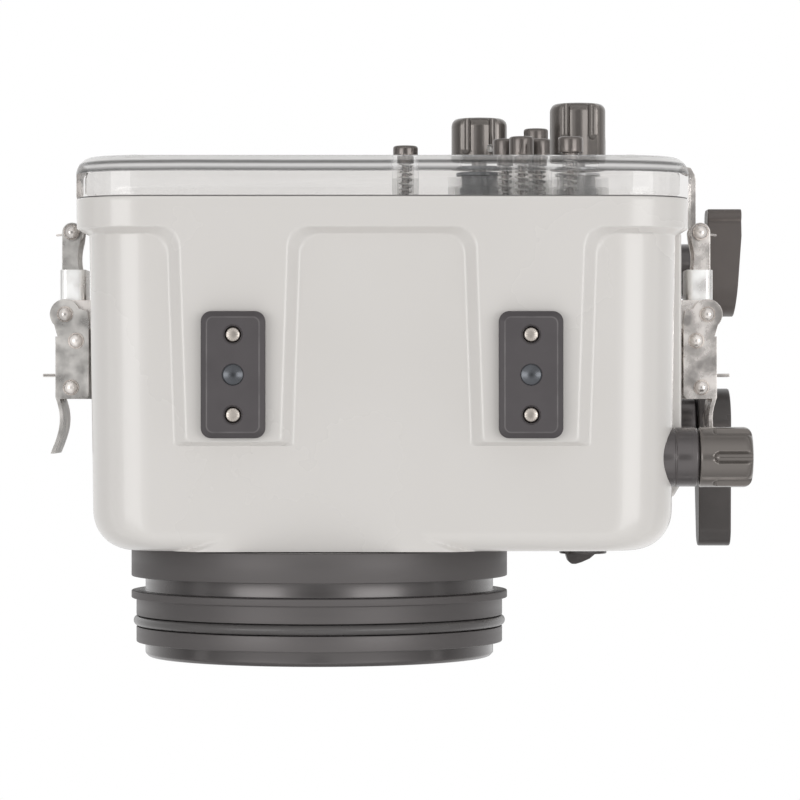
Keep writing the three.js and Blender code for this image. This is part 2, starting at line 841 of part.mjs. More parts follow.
// A fluted knob along its own axis, from its foot to its rounded outer end.
// Its flutes are turned by a share of a pitch.
function knobBody(foot, length, axis, at, turnShare) {
  const edge = knob.edgeRadius;
  const profile = [[0, foot], [knob.radius, foot]];
  const steps = 3;
  for (let i = 0; i <= steps; i += 1) {
    const angle = (right * i) / steps;
    profile.push([knob.radius - edge * (1 - Math.cos(angle)), foot + length - edge * (1 - Math.sin(angle))]);
  }
  profile.push([0, foot + length]);
  let body = turned(profile, "+z", [0, 0, 0], knobSides);
  for (let i = 0; i < knob.flutes; i += 1) {
    const angle = (2 * Math.PI * (i + turnShare)) / knob.flutes;
    const out = knob.radius + knob.fluteRadius - knob.fluteDepth;
    const place = [out * Math.cos(angle), out * Math.sin(angle), 0];
    const low = foot + length - knob.fluteLength;
    body = body.subtract(turned(
      [[0, low - knob.fluteRadius], [knob.fluteRadius * Math.SQRT1_2, low - knob.fluteRadius * Math.SQRT1_2],
        [knob.fluteRadius, low], [knob.fluteRadius, foot + length + overrun], [0, foot + length + overrun]],
      "+z", place, small));
  }
  return solid(geometryOf(body).applyMatrix4(turns[axis]).translate(...at));
}

// A shaft with a drive end inside and a plain end in the knob or the lever.
function shaftBody(inner, outer, axis, at) {
  return turned(
    [[0, inner], [shaft.driveRadius, inner], [shaft.driveRadius, inner + shaft.driveLength],
      [shaft.radius, inner + shaft.driveLength], [shaft.radius, outer], [0, outer]],
    axis, at, round);
}

// A gland: a head on the wall, a neck through it and a nut-like ring inside.
function glandBody(foot, length, inside, radius, axis, at) {
  const bore = shaft.radius + gland.running;
  const seat = inside - play;
  return turned(
    [[bore, seat - gland.nutThickness], [gland.nutRadius, seat - gland.nutThickness], [gland.nutRadius, seat],
      [gland.neckRadius, seat], [gland.neckRadius, foot + play], [radius, foot + play],
      [radius, foot + length], [bore, foot + length], [bore, seat - gland.nutThickness]],
    axis, at);
}

function sideGland(name, length) {
  const { back, up, foot } = sideGlands[name];
  const inside = halfWidth - shell.wall;
  const seat = Math.min(inside, foot - shell.wall);
  const body = glandBody(foot, length, seat, gland.radius, "-x", [0, -back, up]);
  return piece(`${name}_gland`, body, materials.black);
}

function sideShaft(name, length, hold) {
  const { back, up, foot } = sideGlands[name];
  const inner = halfWidth - shell.wall - gland.nutThickness - shaft.inward;
  const body = shaftBody(inner, foot + length + hold, "-x", [0, -back, up]);
  return piece(`${name}_shaft`, body, materials.steel);
}

// A blind hole that takes the end of a shaft, with the usual gap round and behind it.
function shaftSocket(foot, hold, axis, at) {
  return rod(shaft.radius + play, foot - overrun, foot + hold + play, axis, at, round);
}

function sideKnobPieces() {
  const at = [0, -sideKnob.back, sideKnob.up];
  const foot = knobFoot + sideKnob.glandLength + play;
  const body = knobBody(foot, knob.length, "-x", at, sideFluteShare)
    .subtract(shaftSocket(foot, leverHold, "-x", at));
  return [
    piece("side_knob", body, materials.black),
    sideShaft("side_knob", sideKnob.glandLength, leverHold),
    sideGland("side_knob", sideKnob.glandLength),
  ];
}

function backKnobPieces(place) {
  const at = onBack(place);
  const foot = lid.depth + backKnobs.standOff;
  const body = knobBody(foot, place.length, "+y", at, backFluteShare)
    .subtract(shaftSocket(foot, leverHold, "+y", at));
  const inner = lid.bossEnd - play - gland.nutThickness - shaft.inward;
  const bore = shaft.radius + gland.running;
  const rise = lid.depth + play;
  const ring = turned(
    [[bore, lid.bossEnd], [backGland.radius, lid.bossEnd], [backGland.radius, rise],
      [backGland.headRadius, rise], [backGland.headRadius, rise + backGland.rise],
      [bore, rise + backGland.rise], [bore, lid.bossEnd]],
    "+y", at);
  return [
    piece(place.name, body, materials.black),
    piece(`${place.name}_shaft`, shaftBody(inner, foot + leverHold, "+y", at), materials.steel),
    piece(`${place.name}_gland`, ring, materials.anodised),
  ];
}

// The shutter lever: a round hub with an arm that runs forward and drops a little to its tip.
function shutterLeverPieces() {
  const y = -shutter.back;
  const z = shutter.up;
  const foot = bossWall + shutter.glandLength + play;
  const tipRadius = shutter.armHeight / 2;
  const tip = y - shutter.reach + tipRadius;
  const tipUp = z - shutter.drop;
  const lean = Math.asin((shutter.hubRadius - tipRadius) / Math.hypot(y - tip, shutter.drop));
  const tilt = Math.atan2(z - tipUp, y - tip);
  const shape = new THREE.Shape();
  shape.absarc(y, z, shutter.hubRadius, tilt - right - lean, tilt + right + lean);
  shape.absarc(tip, tipUp, tipRadius, tilt + right + lean, tilt + 1.5 * Math.PI - lean);
  const body = bevelled(shape, -foot - shutter.thickness, -foot, "x", shutter.bevel, 1, 5);
  const socket = shaftSocket(foot, leverHold, "-x", [0, y, z]);
  return [
    piece("shutter_lever", body.subtract(socket), materials.black),
    sideShaft("shutter_lever", shutter.glandLength, leverHold),
    sideGland("shutter_lever", shutter.glandLength),
  ];
}

// The rear lever: a thumb paddle whose outer face falls away towards its front end.
function rearLeverPieces() {
  const y = -rearLever.back;
  const z = rearLever.up;
  const foot = bossWall + rearLever.glandLength + play;
  const rear = y + rearLever.rearReach;
  const front = y - rearLever.frontReach;
  const half = rearLever.tailHeight / 2;
  const shape = new THREE.Shape();
  shape.absarc(front + rearLever.hubRadius, z, rearLever.hubRadius, right, 1.5 * Math.PI);
  const corner = rearLever.tailRadius;
  shape.absarc(rear - corner, z - half + corner, corner, -right, 0);
  shape.absarc(rear - corner, z + half - corner, corner, 0, right);
  const outer = foot + rearLever.thickness;
  const plan = outline([
    [-foot, front - overrun],
    [-foot, rear + overrun],
    [-outer, rear + overrun],
    [-outer, rear - rearLever.tailFlat],
    [rearLever.taper - outer, front - overrun],
  ]);
  const body = bevelled(shape, -outer, -foot, "x", rearLever.bevel, 1, 4)
    .intersect(extruded(plan, z - rearLever.hubRadius - overrun, z + rearLever.hubRadius + overrun));
  const socket = shaftSocket(foot, leverHold - rearLever.bevel, "-x", [0, y, z]);
  return [
    piece("rear_lever", body.subtract(socket), materials.black),
    sideShaft("rear_lever", rearLever.glandLength, leverHold - rearLever.bevel),
    sideGland("rear_lever", rearLever.glandLength),
  ];
}

// The lens release on the front: a disc with a ridge that a finger turns.
function releasePieces() {
  const at = [-releaseAcross, -shell.depth, release.up];
  const bore = release.shaftRadius + gland.running;
  const inside = -shell.frontWall;
  const sleeve = turned(
    [[bore, inside], [release.glandRadius, inside], [release.glandRadius, 0], [bore, 0], [bore, inside]],
    "-y", at);
  const foot = play;
  const top = foot + release.hubThickness;
  const turning = turned(
    [[0, inside - shaft.inward], [release.glandRadius, inside - shaft.inward],
      [release.glandRadius, inside - play], [release.shaftRadius, inside - play], [release.shaftRadius, foot],
      [release.hubRadius, foot], [release.hubRadius, top], [0, top]],
    "-y", at);
  const half = release.gripWidth / 2;
  const face = -shell.depth - foot;
  const tipShares = [[1, 0], [0.83, 0.7], [0.62, 1], [0.25, 1], [-0.3, 0.72], [-0.75, 0.28], [-1, 0]];
  const rise = release.hubThickness + release.gripRise;
  const points = tipShares.map(([along, up]) => [
    at[0] + half * along,
    face - (up === 0 ? overrun / 2 : rise * up),
  ]);
  const tall = release.gripHeight / 2;
  const grip = extruded(outline(points), release.up - tall, release.up + tall);
  return [
    piece("lens_release_lever", turning.add(grip), materials.black),
    piece("lens_release_gland", sleeve, materials.anodised),
  ];
}

function bulkheadPieces() {
  const at = [bulkhead.across, -bulkhead.back, shellTop];
  const top = bulkhead.height;
  const inside = -shell.wall - play;
  const spigot = top + bulkhead.spigotLength;
  const body = turned(
    [[0, inside - gland.nutThickness], [bulkhead.radius, inside - gland.nutThickness],
      [bulkhead.radius, inside], [bulkhead.neckRadius, inside], [bulkhead.neckRadius, play],
      [bulkhead.radius, play], [bulkhead.radius, top], [bulkhead.neckRadius, top],
      [bulkhead.neckRadius, spigot], [bulkhead.socketRadius, spigot],
      [bulkhead.socketRadius, spigot - bulkhead.socketDepth], [0, spigot - bulkhead.socketDepth]],
    "+z", at);
  const low = top + play;
  const high = low + bulkhead.capHeight;
  const inner = bulkhead.neckRadius + play;
  const cap = turned(
    [[0, spigot + play], [inner, spigot + play], [inner, low], [bulkhead.capRadius, low],
      [bulkhead.capRadius, high - bulkhead.capEdge], [bulkhead.capRadius - bulkhead.capEdge, high],
      [0, high]],
    "+z", at);
  return [piece("flash_bulkhead", body, materials.anodised), piece("bulkhead_cap", cap, materials.black)];
}

// A latch is drawn with "out" along +X from the wall and "back" along -Y, then set on either side.
function latchPieces(side) {
  const name = side < 0 ? "right" : "left";
  const wall = side < 0 ? bossWall : halfWidth;
  const bodies = {
    latch_base: [latchBase(), materials.steel],
    latch_lever: [latchLever(), materials.steel],
    latch_link: [latchLink(), materials.steel],
    latch_hook: [latchHook(wall), materials.steel],
    latch_link_pin: [latchPin(latch.linkOut, latch.linkBack), materials.steel],
    latch_hook_pin: [hookPin(), materials.steel],
    latch_lock_tab: [lockTab(), materials.steel],
  };
  return Object.entries(bodies).map(([label, [body, material]]) => {
    const geometry = geometryOf(body).translate(wall, 0, latch.up);
    if (side < 0) {
      geometry.scale(-1, 1, 1);
      const index = geometry.index.array;
      for (let i = 0; i < index.length; i += 3) {
        [index[i + 1], index[i + 2]] = [index[i + 2], index[i + 1]];
      }
    }
    const mesh = new THREE.Mesh(geometry, material);
    mesh.name = `${label}_${name}`;
    return mesh;
  });
}

const earOuter = latch.leverHalf - latch.sheet - play;
const earInner = earOuter - latch.sheet;
const linkHalf = earInner - play;

// Two equal sheets, one on each side of the latch's middle.
function pair(shape, inner, outer) {
  return extruded(shape, inner, outer).add(extruded(shape, -outer, -inner));
}

function latchBase() {
  const back = box([play, -latch.baseEnd, -earOuter], [play + latch.sheet, -latch.baseStart, earOuter]);
  const lobe = latch.lobeRadius - play;
  const shape = new THREE.Shape();
  shape.absarc(latch.pivotOut, -latch.pivotBack, lobe, -right, right);
  shape.lineTo(play, lobe - latch.pivotBack);
  shape.lineTo(play, -lobe - latch.pivotBack);
  const ears = pair(shape, earInner, earOuter);
  const head = latch.leverHalf + play;
  const root = earInner + latch.sheet / 2;
  const crown = head + latch.headHeight;
  const stub = turned(
    [[0, root], [latch.pinRadius, root], [latch.pinRadius, head], [latch.headRadius, head],
      [latch.headRadius / 2, crown], [0, crown]],
    "+z", [latch.pivotOut, -latch.pivotBack, 0], small);
  return joined(back, ears, stub, solid(mirrored(geometryOf(stub))));
}

function mirrored(geometry) {
  const other = geometry.clone().scale(1, 1, -1);
  const index = other.index.array;
  for (let i = 0; i < index.length; i += 3) {
    [index[i + 1], index[i + 2]] = [index[i + 2], index[i + 1]];
  }
  return other;
}

// The handle: two side plates with a lobe at the pivot, an outer web and a bowed tail.
function latchLever() {
  const inner = latch.webOut - latch.sheet;
  const side = new THREE.Shape();
  side.moveTo(latch.innerEdge, -latch.leverEnd);
  side.lineTo(inner + latch.sheet / 2, -latch.leverEnd);
  side.lineTo(latch.webOut - latch.sheet / 2, -latch.webStart);
  side.absarc(latch.pivotOut, -latch.pivotBack, latch.lobeRadius, -right / 2, 1.75 * right);
  side.lineTo(latch.innerEdge, -latch.pivotBack - latch.headRadius);
  const plates = pair(side, latch.leverHalf - latch.sheet, latch.leverHalf);
  const web = outline([
    [inner, -latch.webStart],
    [inner, -latch.webEnd],
    [latch.tailBow, -(latch.webEnd + latch.tailEnd) / 2],
    [latch.tailOut - latch.sheet, -latch.tailEnd],
    [latch.tailOut, -latch.tailEnd],
    [latch.tailBow + latch.sheet, -(latch.webEnd + latch.tailEnd) / 2],
    [latch.webOut, -latch.webEnd],
    [latch.webOut, -latch.webStart],
  ].reverse());
  const handle = extruded(web, -latch.leverHalf, latch.leverHalf);
  const far = latch.webOut + overrun;
  const notchHalf = linkHalf + latch.sheet / 2;
  const near = inner - overrun;
  const notch = box([near, -latch.notchEnd, -notchHalf], [far, overrun - latch.webStart, notchHalf]);
  const slotHalf = latch.tabHalf + play;
  const slotLow = -latch.tabLine - latch.tabTravel;
  const slotHigh = play + latch.tabPlate / 2 - latch.tabLine;
  const slot = box([near, slotLow, -slotHalf], [far, slotHigh, slotHalf]);
  const holes = [
    [latch.pivotOut, latch.pivotBack],
    [latch.linkOut, latch.linkBack],
    [latch.tabOut, latch.tabBack],
  ].map(([out, back]) => {
    const reach = latch.leverHalf + overrun;
    return rod(latch.pinRadius + play, -reach, reach, "+z", [out, -back, 0], small);
  });
  return cut(plates.add(handle), notch, slot, ...holes);
}

// A sleeve with two tongues to the lever's pin and two arms to the hook's pin.
function latchLink() {
  const wall = latch.sheet;
  const front = -latch.sleeveEnd;
  const rear = -latch.sleeveStart;
  const outer = box([latch.sleeveIn, front, -linkHalf], [latch.sleeveOut, rear, linkHalf]);
  const bore = box(
    [latch.sleeveIn + wall, front - overrun, wall - linkHalf],
    [latch.sleeveOut - wall, rear + overrun, linkHalf - wall]);
  const tongue = new THREE.Shape();
  tongue.absarc(latch.linkOut, -latch.linkBack, latch.pinRadius + wall, Math.PI, 2 * Math.PI);
  const slim = latch.pinRadius;
  tongue.lineTo(latch.linkOut + slim, overrun + latch.sheet - latch.linkBack);
  tongue.lineTo(latch.linkOut + slim, front + overrun);
  tongue.lineTo(latch.linkOut - slim, front + overrun);
  tongue.lineTo(latch.linkOut - slim, overrun + latch.sheet - latch.linkBack);
  const tongues = pair(tongue, linkHalf - wall, linkHalf);
  const arm = new THREE.Shape();
  const headRadius = latch.armHeadRadius;
  arm.moveTo(latch.armIn, rear - overrun);
  arm.lineTo(latch.armOut, rear - overrun);
  arm.absarc(latch.hookOut, -latch.hookBack, headRadius, 0, Math.PI);
  arm.lineTo(latch.hookOut - headRadius, -latch.hookBack - headRadius);
  arm.lineTo(latch.armIn, -latch.hookBack - 2 * headRadius);
  const arms = pair(arm, linkHalf - wall, linkHalf);
  const holes = [
    [latch.hookOut, latch.hookBack],
    [latch.linkOut, latch.linkBack],
  ].map(([out, back]) => {
    const reach = linkHalf + overrun;
    return rod(latch.pinRadius + play, -reach, reach, "+z", [out, -back, 0], small);
  });
  return cut(joined(outer.subtract(bore), tongues, arms), ...holes);
}

// The hook: an eye on its pin and a strap that runs along the flange to the clear back's rear edge.
function latchHook(wall) {
  const eye = new THREE.Shape();
  eye.absarc(latch.hookOut, -latch.hookBack, latch.eyeRadius, 0, 2 * Math.PI);
  const low = latch.strapIn;
  const high = low + latch.strapSheet;
  const end = lid.depth - play;
  const tip = flangeHalf + play - wall;
  const strap = outline([
    [low, latch.eyeRadius / 2 - latch.hookBack],
    [high, latch.eyeRadius / 2 - latch.hookBack],
    [high, end - 2 * latch.strapSheet],
    [(tip + high) / 2 + latch.strapSheet / 2, end],
    [tip + play, end],
    [tip, end - latch.strapSheet / 2],
    [low, end - 2 * latch.strapSheet],
  ]);
  const lug = outline([
    [latch.hookOut, play - latch.hookBack],
    [latch.hookOut, -play - latch.hookBack],
    [latch.hookOut + 2 * latch.eyeRadius, -play - latch.hookBack - latch.sheet / 2],
    [latch.hookOut + 2 * latch.eyeRadius, play - latch.hookBack - latch.sheet / 2],
  ]);
  const half = latch.strapHalf;
  const body = joined(
    extruded(eye, -half, half),
    extruded(strap, -half, half),
    extruded(lug, -overrun, overrun));
  const at = [latch.hookOut, -latch.hookBack, 0];
  return body.subtract(rod(latch.pinRadius + play, -half - overrun, half + overrun, "+z", at, small));
}

function latchPin(out, back) {
  const end = latch.leverHalf + play;
  return rivet(latch.pinRadius, -end, end, latch.headRadius, latch.headHeight, [out, -back, 0]);
}

function hookPin() {
  const end = linkHalf + play;
  const at = [latch.hookOut, -latch.hookBack, 0];
  return rivet(latch.pinRadius, -end, end, latch.headRadius, latch.headHeight, at);
}

// The lock tab turns on its own pin and stands out through a slot in the lever's web.
function lockTab() {
  const end = latch.leverHalf + play;
  const at = [latch.tabOut, -latch.tabBack, 0];
  const pin = rivet(latch.pinRadius, -end, end, latch.headRadius, latch.headHeight, at);
  const half = latch.tabPlate / 2;
  const arm = outline([
    [latch.tabOut - latch.tabPlate, -latch.tabBack],
    [latch.tabOut + latch.tabPlate, -latch.tabBack],
    [latch.tabOut + latch.tabPlate, -half - latch.tabLine],
    [latch.tabReach, -half - latch.tabLine],
    [latch.tabReach, half - latch.tabLine],
    [latch.tabOut - latch.tabPlate, half - latch.tabLine],
  ]);
  return pin.add(extruded(arm, -latch.tabHalf, latch.tabHalf));
}

const housing = new THREE.Group();
housing.add(piece("body_shell", bodyShell(), materials.shell));
housing.add(portRing(), portSeal());
housing.add(trayPlate(-1), trayPlate(1), ...plateScrews(), cameraTray(), trayScrewPiece());
housing.add(backCover(), backSeal());
for (const place of buttonShares) {
  housing.add(pushButton(place), buttonSpring(place));
}
for (const place of knobShares) {
  housing.add(...backKnobPieces(place));
}
housing.add(...sideKnobPieces(), ...shutterLeverPieces(), ...rearLeverPieces());
housing.add(...releasePieces(), ...bulkheadPieces());
housing.add(...latchPieces(-1), ...latchPieces(1));

// The origin stands under the middle of the whole housing, on the plates' lower faces.
const reach = new THREE.Box3().setFromObject(housing);
const middle = reach.getCenter(new THREE.Vector3());
housing.position.set(-middle.x, -middle.y, 0);

export default housing;
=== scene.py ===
import json
import math
import bpy
import bmesh
import numpy as np
from mathutils import Matrix, Vector


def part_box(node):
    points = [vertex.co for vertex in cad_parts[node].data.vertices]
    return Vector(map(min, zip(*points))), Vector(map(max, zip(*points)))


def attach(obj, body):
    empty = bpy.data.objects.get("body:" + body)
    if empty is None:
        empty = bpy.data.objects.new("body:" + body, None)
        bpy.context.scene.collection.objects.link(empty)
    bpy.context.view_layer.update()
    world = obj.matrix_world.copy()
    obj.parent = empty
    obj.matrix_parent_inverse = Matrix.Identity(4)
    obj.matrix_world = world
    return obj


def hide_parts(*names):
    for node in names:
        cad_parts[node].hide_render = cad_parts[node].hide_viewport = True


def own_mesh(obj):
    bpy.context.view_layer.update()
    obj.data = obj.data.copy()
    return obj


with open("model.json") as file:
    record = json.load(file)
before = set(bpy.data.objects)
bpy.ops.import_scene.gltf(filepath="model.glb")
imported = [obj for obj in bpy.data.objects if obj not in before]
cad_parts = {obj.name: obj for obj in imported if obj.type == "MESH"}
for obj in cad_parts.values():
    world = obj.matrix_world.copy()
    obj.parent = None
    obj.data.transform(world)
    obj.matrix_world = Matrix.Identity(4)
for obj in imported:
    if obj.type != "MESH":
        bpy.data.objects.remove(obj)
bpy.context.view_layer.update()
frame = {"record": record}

# sizes are millimetres, from the middle of the shell's rear face and the underside of the tray plates
mm = 0.001
shellLow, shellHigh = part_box("body_shell")
seat = np.array([(shellLow.x + shellHigh.x) / 2, shellHigh.y, 0.0])
nodeBody = {node: body for body, nodes in frame["record"]["behaviour"]["bodies"].items() for node in nodes}
quarter = math.pi / 2
gap = 0.3  # between pieces that touch
print("frame loaded:", len(nodeBody), "nodes")


# outlines, and shapes: the points and the faces of a solid
def arc(cx, cy, radius, start, end, steps):
    turn = [start + (end - start) * i / steps for i in range(steps + 1)]
    return [(cx + radius * math.cos(a), cy + radius * math.sin(a)) for a in turn]


def roundedBox(low, high, radius, steps=8):
    left, right, near, far = low[0] + radius, high[0] - radius, low[1] + radius, high[1] - radius
    corners = ((right, near), (right, far), (left, far), (left, near))
    return [point for k, corner in enumerate(corners)
            for point in arc(*corner, radius, (k - 1) * quarter, k * quarter, steps)]


def eased(run, reach, steps=3):  # rounds the inner corners of an open run of points
    run = [np.array(p, float) for p in run]
    soft = [run[0]]
    for before, corner, after in zip(run, run[1:], run[2:]):
        back, ahead = before - corner, after - corner
        lengths = np.linalg.norm(back), np.linalg.norm(ahead)
        if min(lengths) < 1e-6:
            continue
        take = min(reach, 0.45 * lengths[0], 0.45 * lengths[1])
        start, end = corner + back * take / lengths[0], corner + ahead * take / lengths[1]
        for k in range(steps + 1):
            t = k / steps
            soft.append((1 - t) ** 2 * start + 2 * t * (1 - t) * corner + t * t * end)
    return soft + [run[-1]]


def aimed(shape, axis, at=(0, 0, 0)):  # a shape drawn along +Z, turned to point along another axis
    points, faces = shape
    a, b, c = np.array(points, float).T
    c = -c if axis[0] == "-" else c
    turned = {"x": (c, a, b), "y": (a, c, b), "z": (a, b, c)}[axis[-1]]
    return np.stack(turned, 1) + np.array(at, float), faces


def latheShape(profile, segments, sizeAt=None):  # sizeAt: the radius where it changes round the axis
    points, rows, faces = [], [], []
    for radius, along in profile:
        count = 1 if radius < 1e-6 else segments
        rows.append(range(len(points), len(points) + count))
        for i in range(count):
            angle = 2 * math.pi * i / segments
            size = sizeAt(radius, along, angle) if sizeAt else radius
            points.append((size * math.cos(angle), size * math.sin(angle), along))
    for first, second in zip(rows, rows[1:]):
        for i in range(segments):
            k = (i + 1) % segments
            corners = [row[j % len(row)] for row, j in ((first, i), (first, k), (second, k), (second, i))]
            face = list(dict.fromkeys(corners))
            if len(face) > 2:
                faces.append(face)
    return points, faces


def prismShape(outline, low, high):
    count = len(outline)
    points = [(a, b, level) for level in (low, high) for a, b in outline]
    sides = [(i, (i + 1) % count, count + (i + 1) % count, count + i) for i in range(count)]
    return points, [list(range(count)), list(range(count, 2 * count))] + sides


def loftShape(rings, ends="caps"):
    count = len(rings[0])
    points = np.concatenate(rings)
    faces = []
    for k in range(len(rings) if ends == "loop" else len(rings) - 1):
        first, second = k * count, ((k + 1) % len(rings)) * count
        for i in range(count):
            after = (i + 1) % count
            faces.append((first + i, first + after, second + after, second + i))
    if ends == "caps":
        faces += [list(range(count)), list(range(len(points) - count, len(points)))]
    return points, faces


def tubeShape(line, radius, sides):
    line = [np.array(p, float) for p in line]
    turn = [2 * math.pi * k / sides for k in range(sides)]
    rings = []
    across = np.array([0.0, 0.0, 1.0])
    for i, point in enumerate(line):
        ahead = line[min(i + 1, len(line) - 1)] - line[max(i - 1, 0)]
        ahead = ahead / np.linalg.norm(ahead)
        across = across - ahead * across.dot(ahead)
        across = across / np.linalg.norm(across)
        upward = np.cross(ahead, across)
        rings.append(np.array([point + radius * (across * math.cos(a) + upward * math.sin(a)) for a in turn]))
    return loftShape(rings)


# from a shape to a finished piece
def solid(name, shape):
    points, faces = shape
    mesh = bpy.data.meshes.new(name)
    mesh.from_pydata((np.array(points, float) * mm + seat).tolist(), [], [list(face) for face in faces])
    tidy = bmesh.new()
    tidy.from_mesh(mesh)
    bmesh.ops.remove_doubles(tidy, verts=tidy.verts, dist=0.002 * mm)
    bmesh.ops.recalc_face_normals(tidy, faces=tidy.faces)
    tidy.to_mesh(mesh)
    tidy.free()
    piece = bpy.data.objects.new(name, mesh)
    bpy.context.scene.collection.objects.link(piece)
    return piece


def applied(piece):
    graph = bpy.context.evaluated_depsgraph_get()
    mesh = bpy.data.meshes.new_from_object(piece.evaluated_get(graph))
    old = piece.data
    piece.modifiers.clear()
    piece.data = mesh
    bpy.data.meshes.remove(old)
    return piece


def combined(piece, shape, operation="UNION"):
    tool = solid("tool", shape)
    change = piece.modifiers.new("combine", "BOOLEAN")
    change.operation = operation
    change.solver = "MANIFOLD"
    change.object = tool
    applied(piece)
    bpy.data.objects.remove(tool)


def softened(piece, width, segments=3, angle=32):
    bevel = piece.modifiers.new("soften", "BEVEL")
    bevel.width = width * mm
    bevel.segments = segments
    bevel.limit_method = "ANGLE"
    bevel.angle_limit = math.radians(angle)
    applied(piece)


def finished(piece, nodeName, look, stands=True, sharp=38, weighted=False):
    piece.data.materials.clear()
    piece.data.materials.append(looks[look])
    piece.data.shade_smooth()
    piece.data.set_sharp_from_angle(angle=math.radians(sharp))
    if weighted:
        piece.modifiers.new("normals", "WEIGHTED_NORMAL").keep_sharp = True
        applied(piece)
    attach(piece, nodeBody[nodeName])
    if stands:
        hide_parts(nodeName)
    return piece


def turnedPiece(name, profile, axis, at, nodeName, look, ease=0.25, segments=64, stands=True):
    shape = latheShape(eased(profile, ease) if ease else profile, segments)
    return finished(solid(name, aimed(shape, axis, at)), nodeName, look, stands)


def prismPiece(name, outline, low, high, axis, nodeName, look, soften, stands=True):
    piece = solid(name, aimed(prismShape(outline, low, high), axis))
    softened(piece, soften)
    finished(piece, nodeName, look, stands, weighted=True)


# nodes: most of these make one and give back its output
def feed(tree, socket, value):
    if isinstance(value, bpy.types.NodeSocket):
        tree.links.new(value, socket)
    else:
        socket.default_value = (*value, 1) if socket.type == "RGBA" and len(value) == 3 else value


def fill(tree, sockets, **values):
    for label, value in values.items():
        feed(tree, sockets[label.replace("_", " ")], value)


def node(tree, kind, links=None, **settings):
    made = tree.nodes.new("ShaderNode" + kind)
    for label, value in settings.items():
        setattr(made, label, value)
    for label, value in (links or {}).items():
        feed(tree, made.inputs[label], value)
    return made


def calc(tree, operation, *values, clamp=False):
    return node(tree, "Math", dict(enumerate(values)), operation=operation, use_clamp=clamp).outputs[0]


def vector(tree, operation, *values):
    made = node(tree, "VectorMath", dict(enumerate(values)), operation=operation)
    return made.outputs["Value" if operation in ("LENGTH", "DOT_PRODUCT") else "Vector"]


def objectPlace(tree):
    return node(tree, "TexCoord").outputs["Object"]


def parts(tree, place):
    return node(tree, "SeparateXYZ", {0: place}).outputs


def noise(tree, scale, detail, place=None):
    links = {"Vector": place or objectPlace(tree), "Scale": scale, "Detail": detail}
    return node(tree, "TexNoise", links).outputs["Fac"]


def spread(tree, value, low, high, start=0.0, end=1.0):
    return node(tree, "MapRange", {0: value, 1: low, 2: high, 3: start, 4: end}).outputs["Result"]


def blend(tree, share, first, second, **settings):
    return node(tree, "Mix", {0: share, 6: first, 7: second}, data_type="RGBA", **settings).outputs[2]


def tinted(tree, share, colour, low, high):
    return blend(tree, share, scaled(colour, low), scaled(colour, high))


def scaled(colour, by):
    return tuple(min(1, by * c) for c in colour)


def ramped(tree, share, stops):
    made = node(tree, "ValToRGB", {"Fac": share})
    steps = made.color_ramp.elements
    for at, _ in stops[1:-1]:
        steps.new(at)
    for step, (at, colour) in zip(steps, stops):
        step.position = at
        step.color = (*colour, 1)
    return made.outputs["Color"]


def outside(tree):  # 1 where the outer side of a surface is seen
    return calc(tree, "SUBTRACT", 1.0, node(tree, "NewGeometry").outputs["Backfacing"])


def bump(tree, height, strength, distance=0.02):
    links = {"Height": height, "Strength": strength, "Distance": distance * mm}
    return node(tree, "Bump", links).outputs["Normal"]


# node groups that several finishes share
def newGroup(name, inputs, outputs):
    group = bpy.data.node_groups.new(name, "ShaderNodeTree")
    for label, value in inputs.items():
        kind = "Float" if isinstance(value, float) else "Vector" if len(value) == 3 else "Color"
        made = group.interface.new_socket(name=label, in_out="INPUT", socket_type="NodeSocket" + kind)
        made.default_value = value
    for label in outputs:
        kind = "Color" if label == "Color" else "Float"
        group.interface.new_socket(name=label, in_out="OUTPUT", socket_type="NodeSocket" + kind)
    return group, group.nodes.new("NodeGroupInput").outputs, group.nodes.new("NodeGroupOutput").inputs


def speckleGroup():  # fine bumps of a moulded or blasted skin, and a slower blotch for its gloss
    group, given, result = newGroup("speckle", {"Scale": 900.0, "Blotch Scale": 25.0, "Low": 0.3, "High": 0.4},
                                    ("Height", "Roughness", "Blotch"))
    slow = noise(group, given["Blotch Scale"], 5.0)
    fill(group, result, Height=noise(group, given["Scale"], 3.0), Blotch=slow,
         Roughness=spread(group, slow, 0.3, 0.7, given["Low"], given["High"]))
    return group


def latheMarksGroup():  # fine rings left by turning, round an axis through Centre
    inputs = {"Centre": (0, 0, 0), "Across": (1, 0, 1), "Along": (0, 1, 0), "Scale": 3000.0}
    group, given, result = newGroup("latheMarks", inputs, ("Height", "Mask", "Radius"))
    offset = vector(group, "SUBTRACT", objectPlace(group), given["Centre"])
    radius = vector(group, "LENGTH", vector(group, "MULTIPLY", offset, given["Across"]))
    along = vector(group, "DOT_PRODUCT", offset, given["Along"])
    pair = node(group, "CombineXYZ", {"X": radius, "Y": along}).outputs[0]
    fill(group, result, Height=noise(group, given["Scale"], 2.0, pair), Mask=noise(group, 260.0, 1.0, pair),
         Radius=radius)
    return group


def edgeWearAndHighlightGroup():  # a lighter colour where edges stand out: partly rubbed wear, partly a painted highlight
    inputs = {"Color": (0.1, 0.1, 0.1, 1), "Rubbed": (0.3, 0.3, 0.3, 1), "Amount": 0.5}
    group, given, result = newGroup("edgeWearAndHighlight", inputs, ("Color",))
    edge = spread(group, node(group, "NewGeometry").outputs["Pointiness"], 0.52, 0.62)
    both = calc(group, "MULTIPLY", edge, noise(group, 220.0, 4.0))
    much = calc(group, "MULTIPLY", both, given["Amount"], clamp=True)
    fill(group, result, Color=blend(group, much, given["Color"], given["Rubbed"]))
    return group


